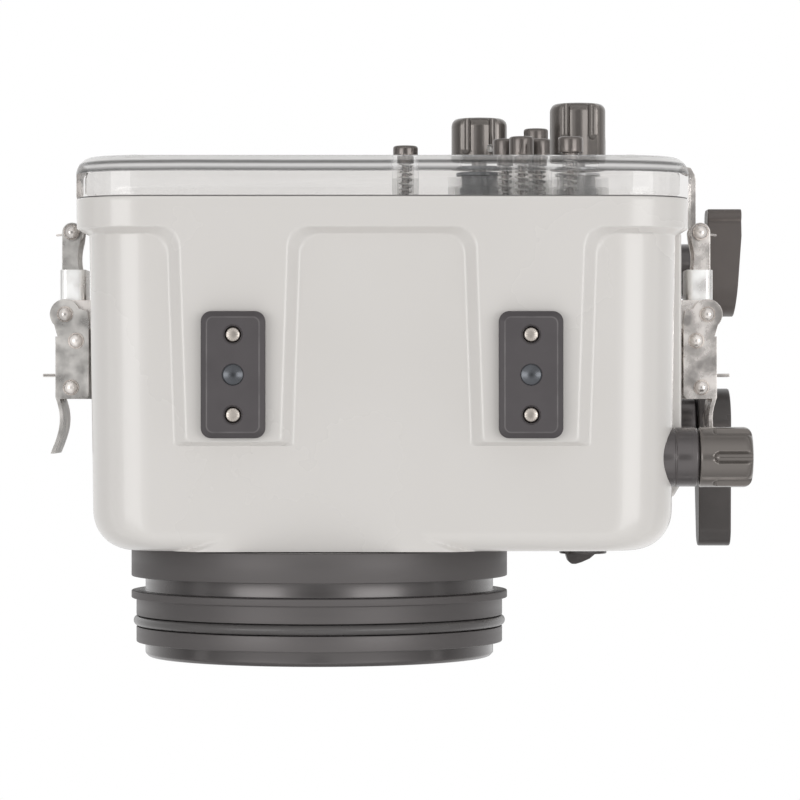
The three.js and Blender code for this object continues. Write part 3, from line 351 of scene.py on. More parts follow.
def platePaintedLightGroup():  # a painted highlight line inside each bottom plate's edge, and light and dark rays painted on its screws as reflections of their turned marks
    inputs = {"Middle": (0, 0, 0), "Apart": 0.04, "Half Size": (0.008, 0.016, 0), "Corner": 0.002,
              "Screw": 0.012}
    group, given, result = newGroup("platePaintedLight", inputs, ("Line", "Swirl"))

    def find(operation, a, b=0.0):
        return calc(group, operation, a, b)
    x, y = parts(group, vector(group, "SUBTRACT", objectPlace(group), given["Middle"]))[:2]
    half = parts(group, given["Half Size"])
    across = find("ABSOLUTE", find("SUBTRACT", find("ABSOLUTE", x), given["Apart"]))
    along = find("ABSOLUTE", y)
    overX, overY = (find("ADD", find("SUBTRACT", place, size), given["Corner"])
                    for place, size in ((across, half[0]), (along, half[1])))
    outX, outY = find("MAXIMUM", overX), find("MAXIMUM", overY)
    far = find("SQRT", find("ADD", find("MULTIPLY", outX, outX), find("MULTIPLY", outY, outY)))
    near = find("MINIMUM", find("MAXIMUM", overX, overY))
    edge = find("ABSOLUTE", find("SUBTRACT", find("ADD", far, near), given["Corner"]))
    ray = find("ARCTAN2", find("ABSOLUTE", find("SUBTRACT", along, given["Screw"])), across)
    reflectedRays = noise(group, 5.0, 2.0, node(group, "CombineXYZ", {"X": ray}).outputs[0])
    fill(group, result, Line=spread(group, edge, 0.1 * mm, 0.28 * mm, 1.0, 0.0), Swirl=reflectedRays)
    return group


speckle, latheMarks, edgeWearAndHighlight, platePaintedLight = speckleGroup(), latheMarksGroup(), edgeWearAndHighlightGroup(), platePaintedLightGroup()


# finishes
def newMaterial(name, **plain):
    material = bpy.data.materials.new(name)
    material.use_nodes = True
    tree = material.node_tree
    shader = tree.nodes["Principled BSDF"].inputs
    fill(tree, shader, **plain)
    return material, tree, shader


def placed(tree, group, **values):
    made = tree.nodes.new("ShaderNodeGroup")
    made.node_tree = group
    fill(tree, made.inputs, **values)
    return made.outputs


def skinned(tree, shader, scale, blotch, low, high, strength, distance=0.02):
    skin = placed(tree, speckle, Scale=scale, Blotch_Scale=blotch, Low=low, High=high)
    fill(tree, shader, Roughness=skin["Roughness"], Normal=bump(tree, skin["Height"], strength, distance))
    return skin["Blotch"]


# lighter edges, partly rubbed wear and partly a painted highlight
def wornAndLitEdges(tree, colour, lighter, amount):
    return placed(tree, edgeWearAndHighlight, Color=colour, Rubbed=scaled(colour, lighter), Amount=amount)["Color"]


def facing(tree):
    return node(tree, "LayerWeight", {"Blend": 0.5}).outputs["Facing"]


def shellFinish(name, dark, light):  # glossy pale moulding, a little uneven
    material, tree, shader = newMaterial(name, IOR=1.5, Coat_Weight=0.3, Coat_Roughness=0.08)
    blotch = skinned(tree, shader, 420.0, 18.0, 0.2, 0.3, 0.05)
    fill(tree, shader, Base_Color=blend(tree, blotch, dark, light))
    return material


def clearFinish(name, colour):  # clear moulded plastic, its coat fading where it is seen along the surface
    material, tree, shader = newMaterial(name, Transmission_Weight=1.0, IOR=1.001, Coat_IOR=1.5, Roughness=0.0)
    skin = placed(tree, speckle, Scale=300.0, Blotch_Scale=30.0, Low=0.96, High=1.0)
    fill(tree, shader, Coat_Weight=spread(tree, facing(tree), 0.35, 0.8, 1.0, 0.0),
         Base_Color=blend(tree, 1.0, colour, skin["Roughness"], blend_type="MULTIPLY"))
    return material


rimLightBands = {"start": 7.8, "width": 5.2, "wander": 1.6, "tint": (1, 0.985, 0.97), "bossEdge": 0.7,
            "bossThin": -0.42, "bosses": ((-62.3, -23.0), (-10.2, -3.0)),
            "stops": ((0.0, 0.4, 0.2), (0.05, 0.3, 0.5), (0.1, 0.1, 0.88), (0.17, 0.11, 0.88),
                      (0.22, 0.2, 0.78), (0.275, 0.26, 0.7), (0.33, 0.44, 0.55), (0.39, 0.5, 0.5),
                      (0.45, 0.36, 0.6), (0.5, 0.14, 0.8), (0.56, 0.11, 0.88), (0.62, 0.12, 0.88),
                      (0.67, 0.3, 0.75), (0.73, 0.66, 0.6), (0.88, 0.62, 0.6), (0.945, 0.42, 0.7),
                      (1.0, 0.5, 0.6))}  # the place, painted tone and cover of each band of painted reflection and refraction


def rimLightFinish(name):  # painted reflection and refraction: bands of tone and cover painted along the lid's rounded rim, for the light it mirrors and bends
    material, tree, shader = newMaterial(name, Roughness=0.12, IOR=1.5)
    x, y = parts(tree, objectPlace(tree))[:2]
    shift = calc(tree, "MULTIPLY_ADD", noise(tree, 11.0, 2.0), rimLightBands["wander"] * mm, y)
    start = float(seat[1]) + rimLightBands["start"] * mm
    share = spread(tree, shift, start, start + rimLightBands["width"] * mm)
    stops = rimLightBands["stops"]
    tone = ramped(tree, share, [(at, scaled(rimLightBands["tint"], value)) for at, value, _ in stops])
    cover = ramped(tree, share, [(at, (value,) * 3) for at, _, value in stops])
    over = 0.0
    for low, high in rimLightBands["bosses"]:
        middle, half = (low + high) / 2, (high - low) / 2
        away = calc(tree, "ABSOLUTE", calc(tree, "SUBTRACT", x, float(seat[0]) + middle * mm))
        edges = [(half + side * rimLightBands["bossEdge"]) * mm for side in (1, -1)]
        over = calc(tree, "MAXIMUM", over, spread(tree, away, *edges))
    thin = calc(tree, "MULTIPLY_ADD", over, rimLightBands["bossThin"], 1.0)
    shown = calc(tree, "MULTIPLY", cover, calc(tree, "MULTIPLY", thin, outside(tree)))
    fill(tree, shader, Base_Color=tone, Alpha=shown)
    return material


def bossShadeFinish(name, colour, *stops):  # painted shade: a dark see-through sheet over a round boss in the clear back, its cover changing with the view angle, for the way the boss bends and darkens what is behind it
    material, tree, shader = newMaterial(name, Roughness=0.25, IOR=1.2)
    fill(tree, shader, Base_Color=tinted(tree, noise(tree, 260.0, 3.0), colour, 0.75, 1.25),
         Alpha=ramped(tree, facing(tree), [(at, (value,) * 3) for at, value in stops]))
    return material


def darkMetalFinish(name, centre, along, colour, roughness, matt=None):  # matt: two radii and more roughness
    material, tree, shader = newMaterial(name, Metallic=0.55, IOR=1.6)
    marks = placed(tree, latheMarks, Centre=centre, Across=tuple(1 - a for a in along), Along=along,
                   Scale=2600.0)
    rough = spread(tree, marks["Mask"], 0.3, 0.7, roughness - 0.06, roughness + 0.06)
    if matt:
        start, end, more = matt
        rough = calc(tree, "ADD", rough, spread(tree, marks["Radius"], start * mm, end * mm, 0.0, more))
        tint = tinted(tree, marks["Mask"], colour, 0.85, 1.1)
    else:
        tint = wornAndLitEdges(tree, colour, 2.2, 0.9)
    fill(tree, shader, Base_Color=tint, Roughness=rough, Normal=bump(tree, marks["Height"], 0.25))
    return material


# places of the painted highlight line round the bottom plates and of the painted rays on their screws
plateLine = {"apart": 43, "back": 51.8, "halfWidth": 7.6, "halfLength": 16.65, "corner": 1.9, "screw": 11.6}


def paintedPlateLight(tree):
    apart, corner, screw = (plateLine[label] * mm for label in ("apart", "corner", "screw"))
    return placed(tree, platePaintedLight, Apart=apart, Corner=corner, Screw=screw,
                  Middle=(seat[0], seat[1] - plateLine["back"] * mm, 0),
                  Half_Size=(plateLine["halfWidth"] * mm, plateLine["halfLength"] * mm, 0))


def blastedFinish(name, lined):  # fine matt black-grey, with a painted highlight line round the bottom plates
    material, tree, shader = newMaterial(name, Metallic=0.35, IOR=1.5)
    blotch = skinned(tree, shader, 2600.0, 120.0, 0.42, 0.52, 0.35, 0.03)
    tint = blend(tree, blotch, (0.067, 0.06, 0.063), (0.087, 0.079, 0.082))
    if lined:
        patch = spread(tree, blotch, 0.35, 0.6, 0.25, 0.8)
        # painted highlight: a lighter line inside the plate's edge, patchy along its length
        tint = blend(tree, calc(tree, "MULTIPLY", paintedPlateLight(tree)["Line"], patch), tint, (0.17, 0.16, 0.16))
    fill(tree, shader, Base_Color=tint)
    return material


def screwFinish(name, dark, light):  # a turned end, with light and dark rays painted round its middle as reflections of its turned marks
    material, tree, shader = newMaterial(name, Metallic=1.0)
    skinned(tree, shader, 900.0, 300.0, 0.26, 0.42, 0.15)
    rays = spread(tree, paintedPlateLight(tree)["Swirl"], 0.35, 0.65)
    fill(tree, shader, Base_Color=blend(tree, rays, dark, light))
    return material


def satinFinish(name, colour, low, high, metallic=0.0):  # satin skin of knobs, levers and a gland
    material, tree, shader = newMaterial(name, IOR=1.5, Metallic=metallic)
    skinned(tree, shader, 1500.0, 70.0, low, high, 0.12)
    fill(tree, shader, Base_Color=wornAndLitEdges(tree, colour, 2.6, 0.8))
    return material


def rubberFinish(name, colour, low, high):
    material, tree, shader = newMaterial(name, IOR=1.45)
    skinned(tree, shader, 1800.0, 90.0, low, high, 0.3)
    fill(tree, shader, Base_Color=wornAndLitEdges(tree, colour, 2.6, 0.6))
    return material


def steelFinish(name, colour, low, high, scratch, uneven=0.18):  # patchy metal with hairline scratches
    material, tree, shader = newMaterial(name, Metallic=1.0)
    skin = placed(tree, speckle, Scale=700.0, Blotch_Scale=160.0, Low=low, High=high)
    patch = spread(tree, skin["Blotch"], 0.38, 0.62)
    drawn = node(tree, "Mapping", {"Vector": objectPlace(tree), "Scale": (900, 60, 900)}).outputs[0]
    lines = noise(tree, 3.0, 4.0, drawn)
    fill(tree, shader, Base_Color=tinted(tree, patch, colour, 1 - uneven, 1 + uneven),
         Roughness=skin["Roughness"], Normal=bump(tree, lines, scratch, 0.01))
    return material


portAt = (19.3, -103.2, 58.0)
alongX, alongY = (1, 0, 0), (0, 1, 0)
finishes = {
    shellFinish: {"shellPlastic": ((0.665, 0.640, 0.612), (0.690, 0.668, 0.645))},
    clearFinish: {"clearPlastic": ((0.866, 0.855, 0.845),), "bossPlastic": ((0.80, 0.80, 0.795),)},
    rimLightFinish: {"rimPlastic": ()},
    bossShadeFinish: {
        "buttonBossSkin": ((0.3, 0.305, 0.31), (0.0, 0.1), (0.1, 0.08), (0.3, 0.03), (0.66, 0.03),
                           (0.86, 0.22), (1.0, 0.35)),
        "knobBossSkin": ((0.2, 0.205, 0.21), (0.0, 0.4), (0.1, 0.34), (0.2, 0.24), (0.4, 0.12),
                         (0.8, 0.06), (1.0, 0.25))},
    darkMetalFinish: {
        "portMetal": ((seat[0] + portAt[0] * mm, 0, portAt[2] * mm), alongY, (0.108, 0.1, 0.099), 0.22,
                      (53.4, 57.2, 0.34)),
        "glandMetal": ((0, seat[1] - 75.9 * mm, 23.3 * mm), alongX, (0.115, 0.105, 0.105), 0.24),
        "buttonMetal": ((seat[0], 0, 0), alongY, (0.155, 0.137, 0.127), 0.2)},
    blastedFinish: {"anodisedPlate": (True,), "anodisedMetal": (False,)},
    satinFinish: {
        "controlPlastic": ((0.05, 0.044, 0.042), 0.26, 0.36),
        "paddlePlastic": ((0.105, 0.09, 0.083), 0.34, 0.46),
        "knobMetal": ((0.165, 0.149, 0.138), 0.13, 0.2, 0.5),
        "glandAlloy": ((0.2, 0.215, 0.23), 0.24, 0.34, 0.5)},
    rubberFinish: {
        "sealRubber": ((0.018, 0.018, 0.019), 0.4, 0.55),
        "ringRubber": ((0.085, 0.08, 0.079), 0.24, 0.32)},
    screwFinish: {"screwSteel": ((0.34, 0.307, 0.278), (0.6, 0.552, 0.503))},
    steelFinish: {
        "paleAlloy": ((0.72, 0.73, 0.74), 0.3, 0.42, 0.1),
        "polishedSteel": ((0.72, 0.68, 0.65), 0.16, 0.34, 0.1),
        # painted highlight: a near-white copy of the steel for the latch sleeves
        "sleeveSteel": ((0.97, 0.95, 0.93), 0.24, 0.4, 0.08, 0.06),
        "threadMetal": ((0.11, 0.115, 0.125), 0.24, 0.34, 0.1),
        "springSteel": ((0.62, 0.61, 0.6), 0.26, 0.38, 0.12),
        "drawnSteel": ((0.42, 0.41, 0.4), 0.24, 0.36, 0.12),
        # painted shade: a darker, rougher copy of the latch steel for the left latch's lever and arms
        "dulledSteel": ((0.52, 0.503, 0.483), 0.24, 0.42, 0.3, 0.2),
        "trayAlloy": ((0.5, 0.5, 0.51), 0.3, 0.42, 0.2)},
}
looks = {name: make(name, *given) for make, rows in finishes.items() for name, given in rows.items()}
print("finishes made:", len(bpy.data.materials))

# the shell
shell = {"half": 86.5, "depth": 103.2, "low": 7, "high": 141, "wall": 4.5, "frontWall": 5, "taper": 1.4,
         "corner": 18, "planRadius": 11.6, "frontEdge": 6, "innerCorner": 13.5, "edge": 0.5, "portHole": 48.9}
flange = {"overhang": 3.6, "lift": 3, "start": 10.7, "ramp": 1.8, "corner": 20}
pad = {"apart": 86, "rear": 39.2, "front": 34.3, "reach": 72.4, "slope": 3.5, "frontSlope": 1.2, "blend": 7,
       "near": 0.55}
portBoss = {"across": 16.6, "rear": -96.8, "rearLand": 21.2, "front": -102.7, "frontLand": 36.5, "blend": 1.5}
sideBoss = {"rise": 2, "low": 29, "high": 112, "reach": 87.8, "chamfer": 4}
trayPost = {"apart": 80, "depth": 40, "back": 52, "low": 10.5, "high": 16.4, "radius": 4}
sealGroove = {"inset": 1.5, "width": 3.2, "depth": 2.6}
gridRuns = (5, 4, 5, 4, 30, 4, 5, 4, 60, 4, 5, 4, 30, 4, 5, 4, 5)
ringCounts = {"bottom": sum(gridRuns), "corner": 12, "side": 22, "top": 60}
floorLevel = shell["low"] + shell["wall"]
flangeHalf = shell["half"] + flange["overhang"]
flangeLow, flangeTop = shell["low"] - flange["lift"], shell["high"] + flange["lift"]


def softClamp(t, ease=0.15):  # 0 to 1 with its two corners rounded
    def foot(u):
        return np.where(u < -ease, 0, np.where(u > ease, u, (u + ease) ** 2 / (4 * ease)))
    return foot(t) - foot(t - 1)


def rectRing(half, low, high, corner, y, counts, flat=None):  # along the bottom first, then up on the right
    x = half - corner
    flat = np.linspace(-x, x, counts["bottom"], endpoint=False) if flat is None else flat
    spin = np.linspace(0, quarter, counts["corner"], endpoint=False)
    sine, cosine = corner * np.sin(spin), corner * np.cos(spin)
    rise = np.linspace(low + corner, high - corner, counts["side"], endpoint=False)
    fall = rise[::-1] + (high - low - 2 * corner) / len(rise)
    back = np.linspace(x, -x, counts["top"], endpoint=False)
    across = np.concatenate([flat, x + sine, 0 * rise + half, x + cosine, back, -x - sine, 0 * rise - half,
                             -x - cosine])
    up = np.concatenate([0 * flat + low, low + corner - cosine, rise, high - corner + sine, 0 * back + high,
                         high - corner + cosine, fall, low + corner - sine])
    return np.stack([across, 0 * across + y, up], 1)


def smoothUnion(a, b, blending):
    share = np.clip(0.5 + 0.5 * (b - a) / blending, 0, 1)
    return b + (a - b) * share - blending * share * (1 - share)


def padFoot(y):  # half of a pad's width at its foot
    return (pad["rear"] + (pad["rear"] - pad["front"]) * y / pad["reach"]) / 2


def bottomGrid(y, reach):  # places along the underside, close together at the pads' edges
    foot = padFoot(y)
    offsets = (-foot, pad["slope"] - foot, foot - pad["slope"], foot)
    edges = [side * pad["apart"] / 2 + offset for side in (-1, 1) for offset in offsets]
    squeeze = min(1.0, (reach - 1) / (edges[-1] + pad["near"]))
    marks = [-reach]
    for edge in edges:
        marks += [edge * squeeze - pad["near"], edge * squeeze + pad["near"]]
    marks.append(reach)
    runs = zip(marks, marks[1:], gridRuns)
    return np.concatenate([np.linspace(a, b, n, endpoint=False) for a, b, n in runs])


def raisedShare(x, y):  # how far the two pads and the flange band stand out of the shell's underside
    inside = np.full_like(x, -flange["start"] - y)
    width = np.full_like(x, flange["ramp"])
    for side in (-1, 1):
        flank = (np.abs(x - side * pad["apart"] / 2) - padFoot(y)) / pad["slope"]
        front = np.full_like(x, (-pad["reach"] - y) / pad["frontSlope"])
        island = -pad["slope"] * smoothUnion(-flank, -front, 0.6)
        share = np.clip(0.5 + 0.5 * (inside - island) / pad["blend"], 0, 1)
        inside = smoothUnion(inside, island, pad["blend"])
        width = width + (pad["slope"] - width) * share
    return softClamp(-inside / width)


def roundedIn(y, radius):  # how far a rounded front edge has drawn in at y
    into = max(0.0, -y - shell["depth"] + radius) / radius
    return radius * (1 - math.sqrt(max(0.0, 1 - into * into)))


def outerRing(y):
    ramp = float(softClamp(np.array((y + flange["start"]) / flange["ramp"])))
    inset, rise = roundedIn(y, shell["planRadius"]), roundedIn(y, shell["frontEdge"])
    half = shell["half"] - shell["taper"] * (-y / shell["depth"]) + flange["overhang"] * ramp - inset
    corner = shell["corner"] + (flange["corner"] - shell["corner"]) * ramp - 0.4 * inset
    low = shell["low"] - flange["lift"] * ramp + rise
    high = shell["high"] + flange["lift"] * ramp - inset
    ring = rectRing(half, low, high, corner, y, ringCounts, bottomGrid(y, half - corner))
    bottom = slice(0, ringCounts["bottom"])
    raised = flange["lift"] * raisedShare(ring[bottom, 0], y)
    ring[bottom, 2] = np.minimum(ring[bottom, 2], shell["low"] + rise - raised)
    if y < portBoss["rear"]:
        share = (portBoss["rear"] - y) / (portBoss["rear"] - portBoss["front"])
        land = portBoss["rearLand"] + (portBoss["frontLand"] - portBoss["rearLand"]) * share
        drop = land ** 2 + (portAt[2] - shell["low"]) ** 2 - (ring[bottom, 0] - portBoss["across"]) ** 2
        under = portAt[2] - np.sqrt(np.maximum(drop, 0))
        ring[bottom, 2] = np.maximum(smoothUnion(ring[bottom, 2], under, portBoss["blend"]), shell["low"])
    return ring


def flangeRing(inset, y):
    half, corner = flangeHalf - inset, flange["corner"] - inset
    return rectRing(half, flangeLow + inset, flangeTop - inset, corner, y, ringCounts,
                    bottomGrid(0, half - corner))


def bodyShell():
    stations = [shell["planRadius"] * (1 - math.cos(quarter * k / 18)) - shell["depth"] for k in range(18)]
    stations += list(np.arange(shell["planRadius"] - shell["depth"], -17, 1.1))
    stations += list(np.arange(-17, -7.5, 0.4)) + [-7, -5, -3, -1.4]
    slopes = ((-pad["reach"], pad["frontSlope"]), (-flange["start"], flange["ramp"]))
    for crease, ease in [(start + run, ease) for start, ease in slopes for run in (0, ease)]:
        stations = [y for y in stations if abs(y - crease) > 0.25 * ease]
        stations += [crease + ease * k * 0.06 for k in (-3, -2, -1, 0, 1, 2, 3)]
    rings = [outerRing(y) for y in sorted(stations)]
    for k in range(4):
        spin = quarter * k / 3
        rings.append(flangeRing(shell["edge"] * (1 - math.cos(spin)), shell["edge"] * (math.sin(spin) - 1)))
    start, end, deep = sealGroove["inset"], sealGroove["inset"] + sealGroove["width"], -sealGroove["depth"]
    rings += [flangeRing(inset, y) for inset, y in ((start, 0), (start, deep), (end, deep), (end, 0))]
    half, high, corner = shell["half"] - shell["wall"], shell["high"] - shell["wall"], shell["innerCorner"]
    back = -shell["depth"] + shell["frontWall"]
    flat = bottomGrid(0, half - corner)
    for y in (0, -0.4, -40, -80, back + 4, back + 0.4, back):
        rings.append(rectRing(half, floorLevel, high, corner, y, ringCounts, flat))
    centre = np.array([portAt[0], portAt[2]])
    inward = (0.25, 0.5, 0.75, 1)
    for y, face, shares in ((back, rings[-1], inward), (-shell["depth"], rings[0], inward[::-1])):
        away = face[:, [0, 2]] - centre
        rim = face.copy()
        rim[:, [0, 2]] = away / np.linalg.norm(away, axis=1)[:, None] * shell["portHole"] + centre
        rim[:, 1] = y
        rings += [face + (rim - face) * share for share in shares]
    finished(solid("bodyShell", loftShape(rings, "loop")), "body_shell", "shellPlastic", sharp=50)


def shellBosses():
    wall, start = -shell["half"], 1 - flange["start"]
    face, reach, chamfer = wall - sideBoss["rise"], -sideBoss["reach"], sideBoss["chamfer"]
    outline = [(wall + 2, start), (face, start), (face, reach + chamfer), (wall + 0.4, reach),
               (wall + 2, reach)]
    prismPiece("sideBoss", outline, sideBoss["low"], sideBoss["high"], "z", "body_shell", "shellPlastic",
               0.9, False)
    low, high, radius = trayPost["low"], trayPost["high"], trayPost["radius"]
    post = [(0, low), (radius, low), (radius, high), (0, high)]
    for side in (-1, 1):
        for end in (-1, 1):
            at = (portAt[0] + side * trayPost["apart"] / 2, end * trayPost["depth"] / 2 - trayPost["back"], 0)
            turnedPiece(f"trayPost{side + 2}{end + 2}", post, "z", at, "body_shell", "shellPlastic",
                        0.3, 32, False)


bodyShell()
shellBosses()
print("shell made")

# the port ring
port = {"bore": 47, "wall": 1.6, "flange": 57, "groove": 52.75, "barrel": 55.5, "sealSeat": 53.2,
        "nose": 52.75, "lengths": (9, 4.4, 2.2, 5.2, 3.4, 4.7, 4.4), "bevel": 1.0, "innerBevel": 1.2,
        "sealSection": 3.0, "sealLift": 0.15, "start": 15}


def portRing():
    radii = [port[label] for label in ("flange", "groove", "flange", "barrel", "sealSeat", "barrel", "nose")]
    bore, inside, sleeve = port["bore"], -shell["frontWall"], port["bore"] + port["wall"]
    profile = [(bore, port["start"]), (bore, inside), (sleeve, inside), (sleeve, gap)]
    along = gap
    ends = np.cumsum(port["lengths"])
    for radius, end in zip(radii, ends):
        profile += [(radius, along), (radius, end)]
        along = end
    profile[-1] = (port["nose"], along - port["bevel"])
    profile += [(port["nose"] - port["bevel"], along), (bore + port["innerBevel"], along),
                (bore, along - port["innerBevel"]), (bore, port["start"])]
    turnedPiece("portRing", profile, "-y", portAt, "port_ring", "portMetal", 0.3, 220)
    middle = ends[3] + port["lengths"][4] / 2
    section = port["sealSection"] / 2
    centre = port["sealSeat"] + port["sealLift"] + section
    ring = [(centre + section * math.cos(a), middle + section * math.sin(a))
            for a in np.linspace(0, 2 * math.pi, 19)]
    turnedPiece("portSeal", ring, "-y", portAt, "port_o_ring", "ringRubber", 0, 200)


portRing()
print("port ring made")

# the two bottom plates, each with a threaded hole and two screws
plate = {"width": 18.6, "length": 36.7, "thickness": 3.7, "corner": 3, "bevel": 1.8, "bevelRise": 1.1,
         "back": 51.8, "hole": 3.0, "spacing": 23.2, "screwHole": 2.42, "mouth": 2.9, "threadStart": 0.4,
         "threadEnd": 2.8, "threads": 7}
plateScrew = {"radius": 2.35, "shank": 2.1, "head": 3.8, "sink": 0.4, "headHeight": 2.6, "socket": 1.5}


def bottomPlate(side):
    x, y = side * pad["apart"] / 2, -plate["back"]
    wide, tall = plate["width"] / 2, plate["length"] / 2
    name = "left" if side > 0 else "right"
    rings = []
    for inset, z in ((plate["bevel"], 0), (0, plate["bevelRise"]), (0, plate["thickness"])):
        outline = roundedBox((x - wide + inset, y - tall + inset), (x + wide - inset, y + tall - inset),
                             plate["corner"] - inset * 0.6)
        rings.append(np.array([(a, b, z) for a, b in outline]))
    body = solid("plate" + name.title(), loftShape(rings))
    softened(body, 0.16, 2, 25)
    hole, thick = plate["hole"], plate["thickness"]
    cuts = [(0, hole + 0.1, hole + 0.25)]
    cuts += [(end * plate["spacing"] / 2, plate["screwHole"], plate["mouth"]) for end in (-1, 1)]
    for offset, radius, mouth in cuts:
        profile = [(0, -1), (mouth + 1, -1), (radius, mouth - radius), (radius, 5), (0, 5)]
        combined(body, aimed(latheShape(profile, 48), "z", (x, y + offset, 0)), "DIFFERENCE")
    finished(body, f"tray_plate_{name}", "anodisedPlate", sharp=30, weighted=True)
    thread = []
    start = plate["threadStart"]
    for k in range(plate["threads"]):
        z = start + k * (plate["threadEnd"] - start) / plate["threads"]
        thread += [(hole + 0.05, z), (hole - 0.15, z + 0.17)]
    thread += [(hole - 0.1, 2.9), (hole * 0.72, 3.25), (hole * 0.4, 3.5), (0, thick - 0.05), (0, thick + 0.25),
               (hole + 0.6, thick + 0.25), (hole + 0.6, start), thread[0]]
    turnedPiece("plateThread" + name.title(), thread, "z", (x, y, 0), f"tray_plate_{name}", "threadMetal",
                0, 48, False)
    sink, radius, shank = plateScrew["sink"], plateScrew["radius"], plateScrew["shank"]
    head, socket = plateScrew["head"], plateScrew["socket"]
    foot = floorLevel + gap
    top = foot + plateScrew["headHeight"]
    profile = [(0, sink), (radius * 0.45, sink + 0.05), (radius * 0.8, sink + 0.22),
               (radius * 0.96, sink + 0.6), (radius, sink + 1.1), (shank, sink + 1.4), (shank, foot),
               (head, foot), (head, top), (socket, top), (socket, foot + 1), (0, foot + 1)]
    for end, label in ((-1, "front"), (1, "rear")):
        at = (x, y + end * plate["spacing"] / 2, 0)
        turnedPiece(f"plateScrew{name.title()}{label.title()}", profile, "z", at,
                    f"plate_screw_{name}_{label}", "screwSteel", 0.3, 40)


for side in (-1, 1):
    bottomPlate(side)
print("bottom plates made")

# the camera's tray and its thumb screw
tray = {"width": 96, "length": 56, "thickness": 3, "back": 52, "corner": 8, "bottom": 16.7, "slot": 18,
        "open": 3.3}
thumbScrew = {"radius": 8, "dent": 0.45, "knurls": 30, "height": 4.4, "shank": 3, "rise": 7}


def cameraTray():
    x, y, wide, tall = portAt[0], -tray["back"], tray["width"] / 2, tray["length"] / 2
    low, high = tray["bottom"], tray["bottom"] + tray["thickness"]
    outline = roundedBox((x - wide, y - tall), (x + wide, y + tall), tray["corner"])
    body = solid("cameraTray", prismShape(outline, low, high))
    softened(body, 0.5)
    slot, opening = tray["slot"] / 2, tray["open"]
    combined(body, prismShape(roundedBox((x - slot, y - opening), (x + slot, y + opening), opening - 0.01),
                              low - 1, high + 1), "DIFFERENCE")
    finished(body, "camera_tray", "trayAlloy", weighted=True)
    top, shank, end = low - gap, thumbScrew["shank"], high + thumbScrew["rise"]
    head = []
    for k in range(thumbScrew["knurls"] * 4):
        angle = 2 * math.pi * k / (thumbScrew["knurls"] * 4)
        radius = thumbScrew["radius"] - (0 if k % 4 < 2 else thumbScrew["dent"])
        head.append((radius * math.cos(angle), radius * math.sin(angle)))
    grip = solid("cameraScrew", prismShape(head, top - thumbScrew["height"], top))
    stem = [(0, top - 2), (shank, top - 2), (shank, end - 0.6), (shank - 0.6, end), (0, end)]
    combined(grip, latheShape(stem, 40))
    grip.data.transform(Matrix.Translation((x * mm, y * mm, 0)))
    finished(grip, "tray_screw", "trayAlloy", weighted=True)


cameraTray()
print("camera tray made")

# the clear back
lid = {"depth": 12.1, "plate": 4.3, "skirt": 2.6, "edge": 5, "lip": 5.6, "lipDepth": 1.6, "boss": 4,
       "bossEnd": 0.9, "well": 2.6, "wellFloor": 1.7, "stemHole": 1.45, "knobBoss": 9.8, "knobBore": 5.9,
       "glandBore": 7.6, "foot": (2.9, 1.0, 11), "footShare": 0.81, "skin": 0.03}
lidCounts = {"bottom": 24, "corner": 16, "side": 16, "top": 24}
seal = {"radius": 1.3, "squash": 1.15, "sides": 12, "lip": (0.3, 2)}
plateInner = lid["depth"] - lid["plate"]
buttons = {"menu": (-0.0757, 0.34, 3.2), "left": (-0.4136, 0.415, 6), "down": (-0.465, 0.34, 6),
           "right": (-0.5276, 0.415, 6), "upper": (-0.5246, 0.535, 10.4), "lower": (-0.6205, 0.22, 4.7)}
backKnobs = {"inner": (-0.334, 0.66, 14.6), "outer": (-0.68, 0.69, 19.6)}


def onBack(across, up):
    return (across * flangeHalf, 0, flangeLow + up * (flangeTop - flangeLow))


def lidRing(inset, y):
    half, corner = flangeHalf - inset, flange["corner"] - inset
    return rectRing(half, flangeLow + inset, flangeTop - inset, corner, y, lidCounts)


def lidRim(outset, least):  # rings over the rounded rim, from the flat back towards the side wall
    rings = []
    for k in range(13):
        spin = quarter * k / 12
        y = max(least, lid["depth"] - lid["edge"] * (1 - math.cos(spin)) + outset * math.cos(spin))
        rings.append(lidRing(lid["edge"] * (1 - math.sin(spin)) - outset * math.sin(spin), y))
    return rings


def clearBack():
    lip, skirt, inner = lid["lip"], lid["skirt"], plateInner
    section = [(0, gap + 0.25), (0.25, gap), (lip - 0.2, gap), (lip, gap + 0.2), (lip, lid["lipDepth"]),
               (skirt, lid["lipDepth"]), (skirt, inner - 0.8), (skirt + 0.25, inner - 0.25),
               (skirt + 0.8, inner)]
    body = solid("clearBack", loftShape(lidRim(0, 0) + [lidRing(inset, y) for inset, y in section]))
    for places, radius, sides in ((buttons, lid["well"], 40), (backKnobs, lid["knobBore"], 64)):
        bore = [(0, inner - 2), (radius, inner - 2), (radius, lid["depth"] + 1), (0, lid["depth"] + 1)]
        for place in places.values():
            combined(body, aimed(latheShape(bore, sides), "y", onBack(*place[:2])), "DIFFERENCE")
    wide, rise, start = lid["foot"]
    top = lid["depth"] + rise
    foot = [(0, start), (wide, start), (wide, top - 0.8), (wide - 0.4, top - 0.2), (wide - 1.3, top), (0, top)]
    for share in (-lid["footShare"], lid["footShare"]):
        at = (share * flangeHalf, 0, flangeLow + flange["corner"])
        combined(body, aimed(latheShape(foot, 32), "y", at))
    finished(body, "back_cover", "clearPlastic", sharp=32)
    # a thin sheet over the rounded rim carries the painted bands of mirrored and bent light
    rim = solid("lidRim", loftShape(lidRim(lid["skin"], lid["depth"] - lid["edge"] + 0.02), "open"))
    if max(rim.data.polygons, key=lambda face: face.center.x).normal.x < 0:
        rim.data.flip_normals()
    finished(rim, "back_cover", "rimPlastic", False)


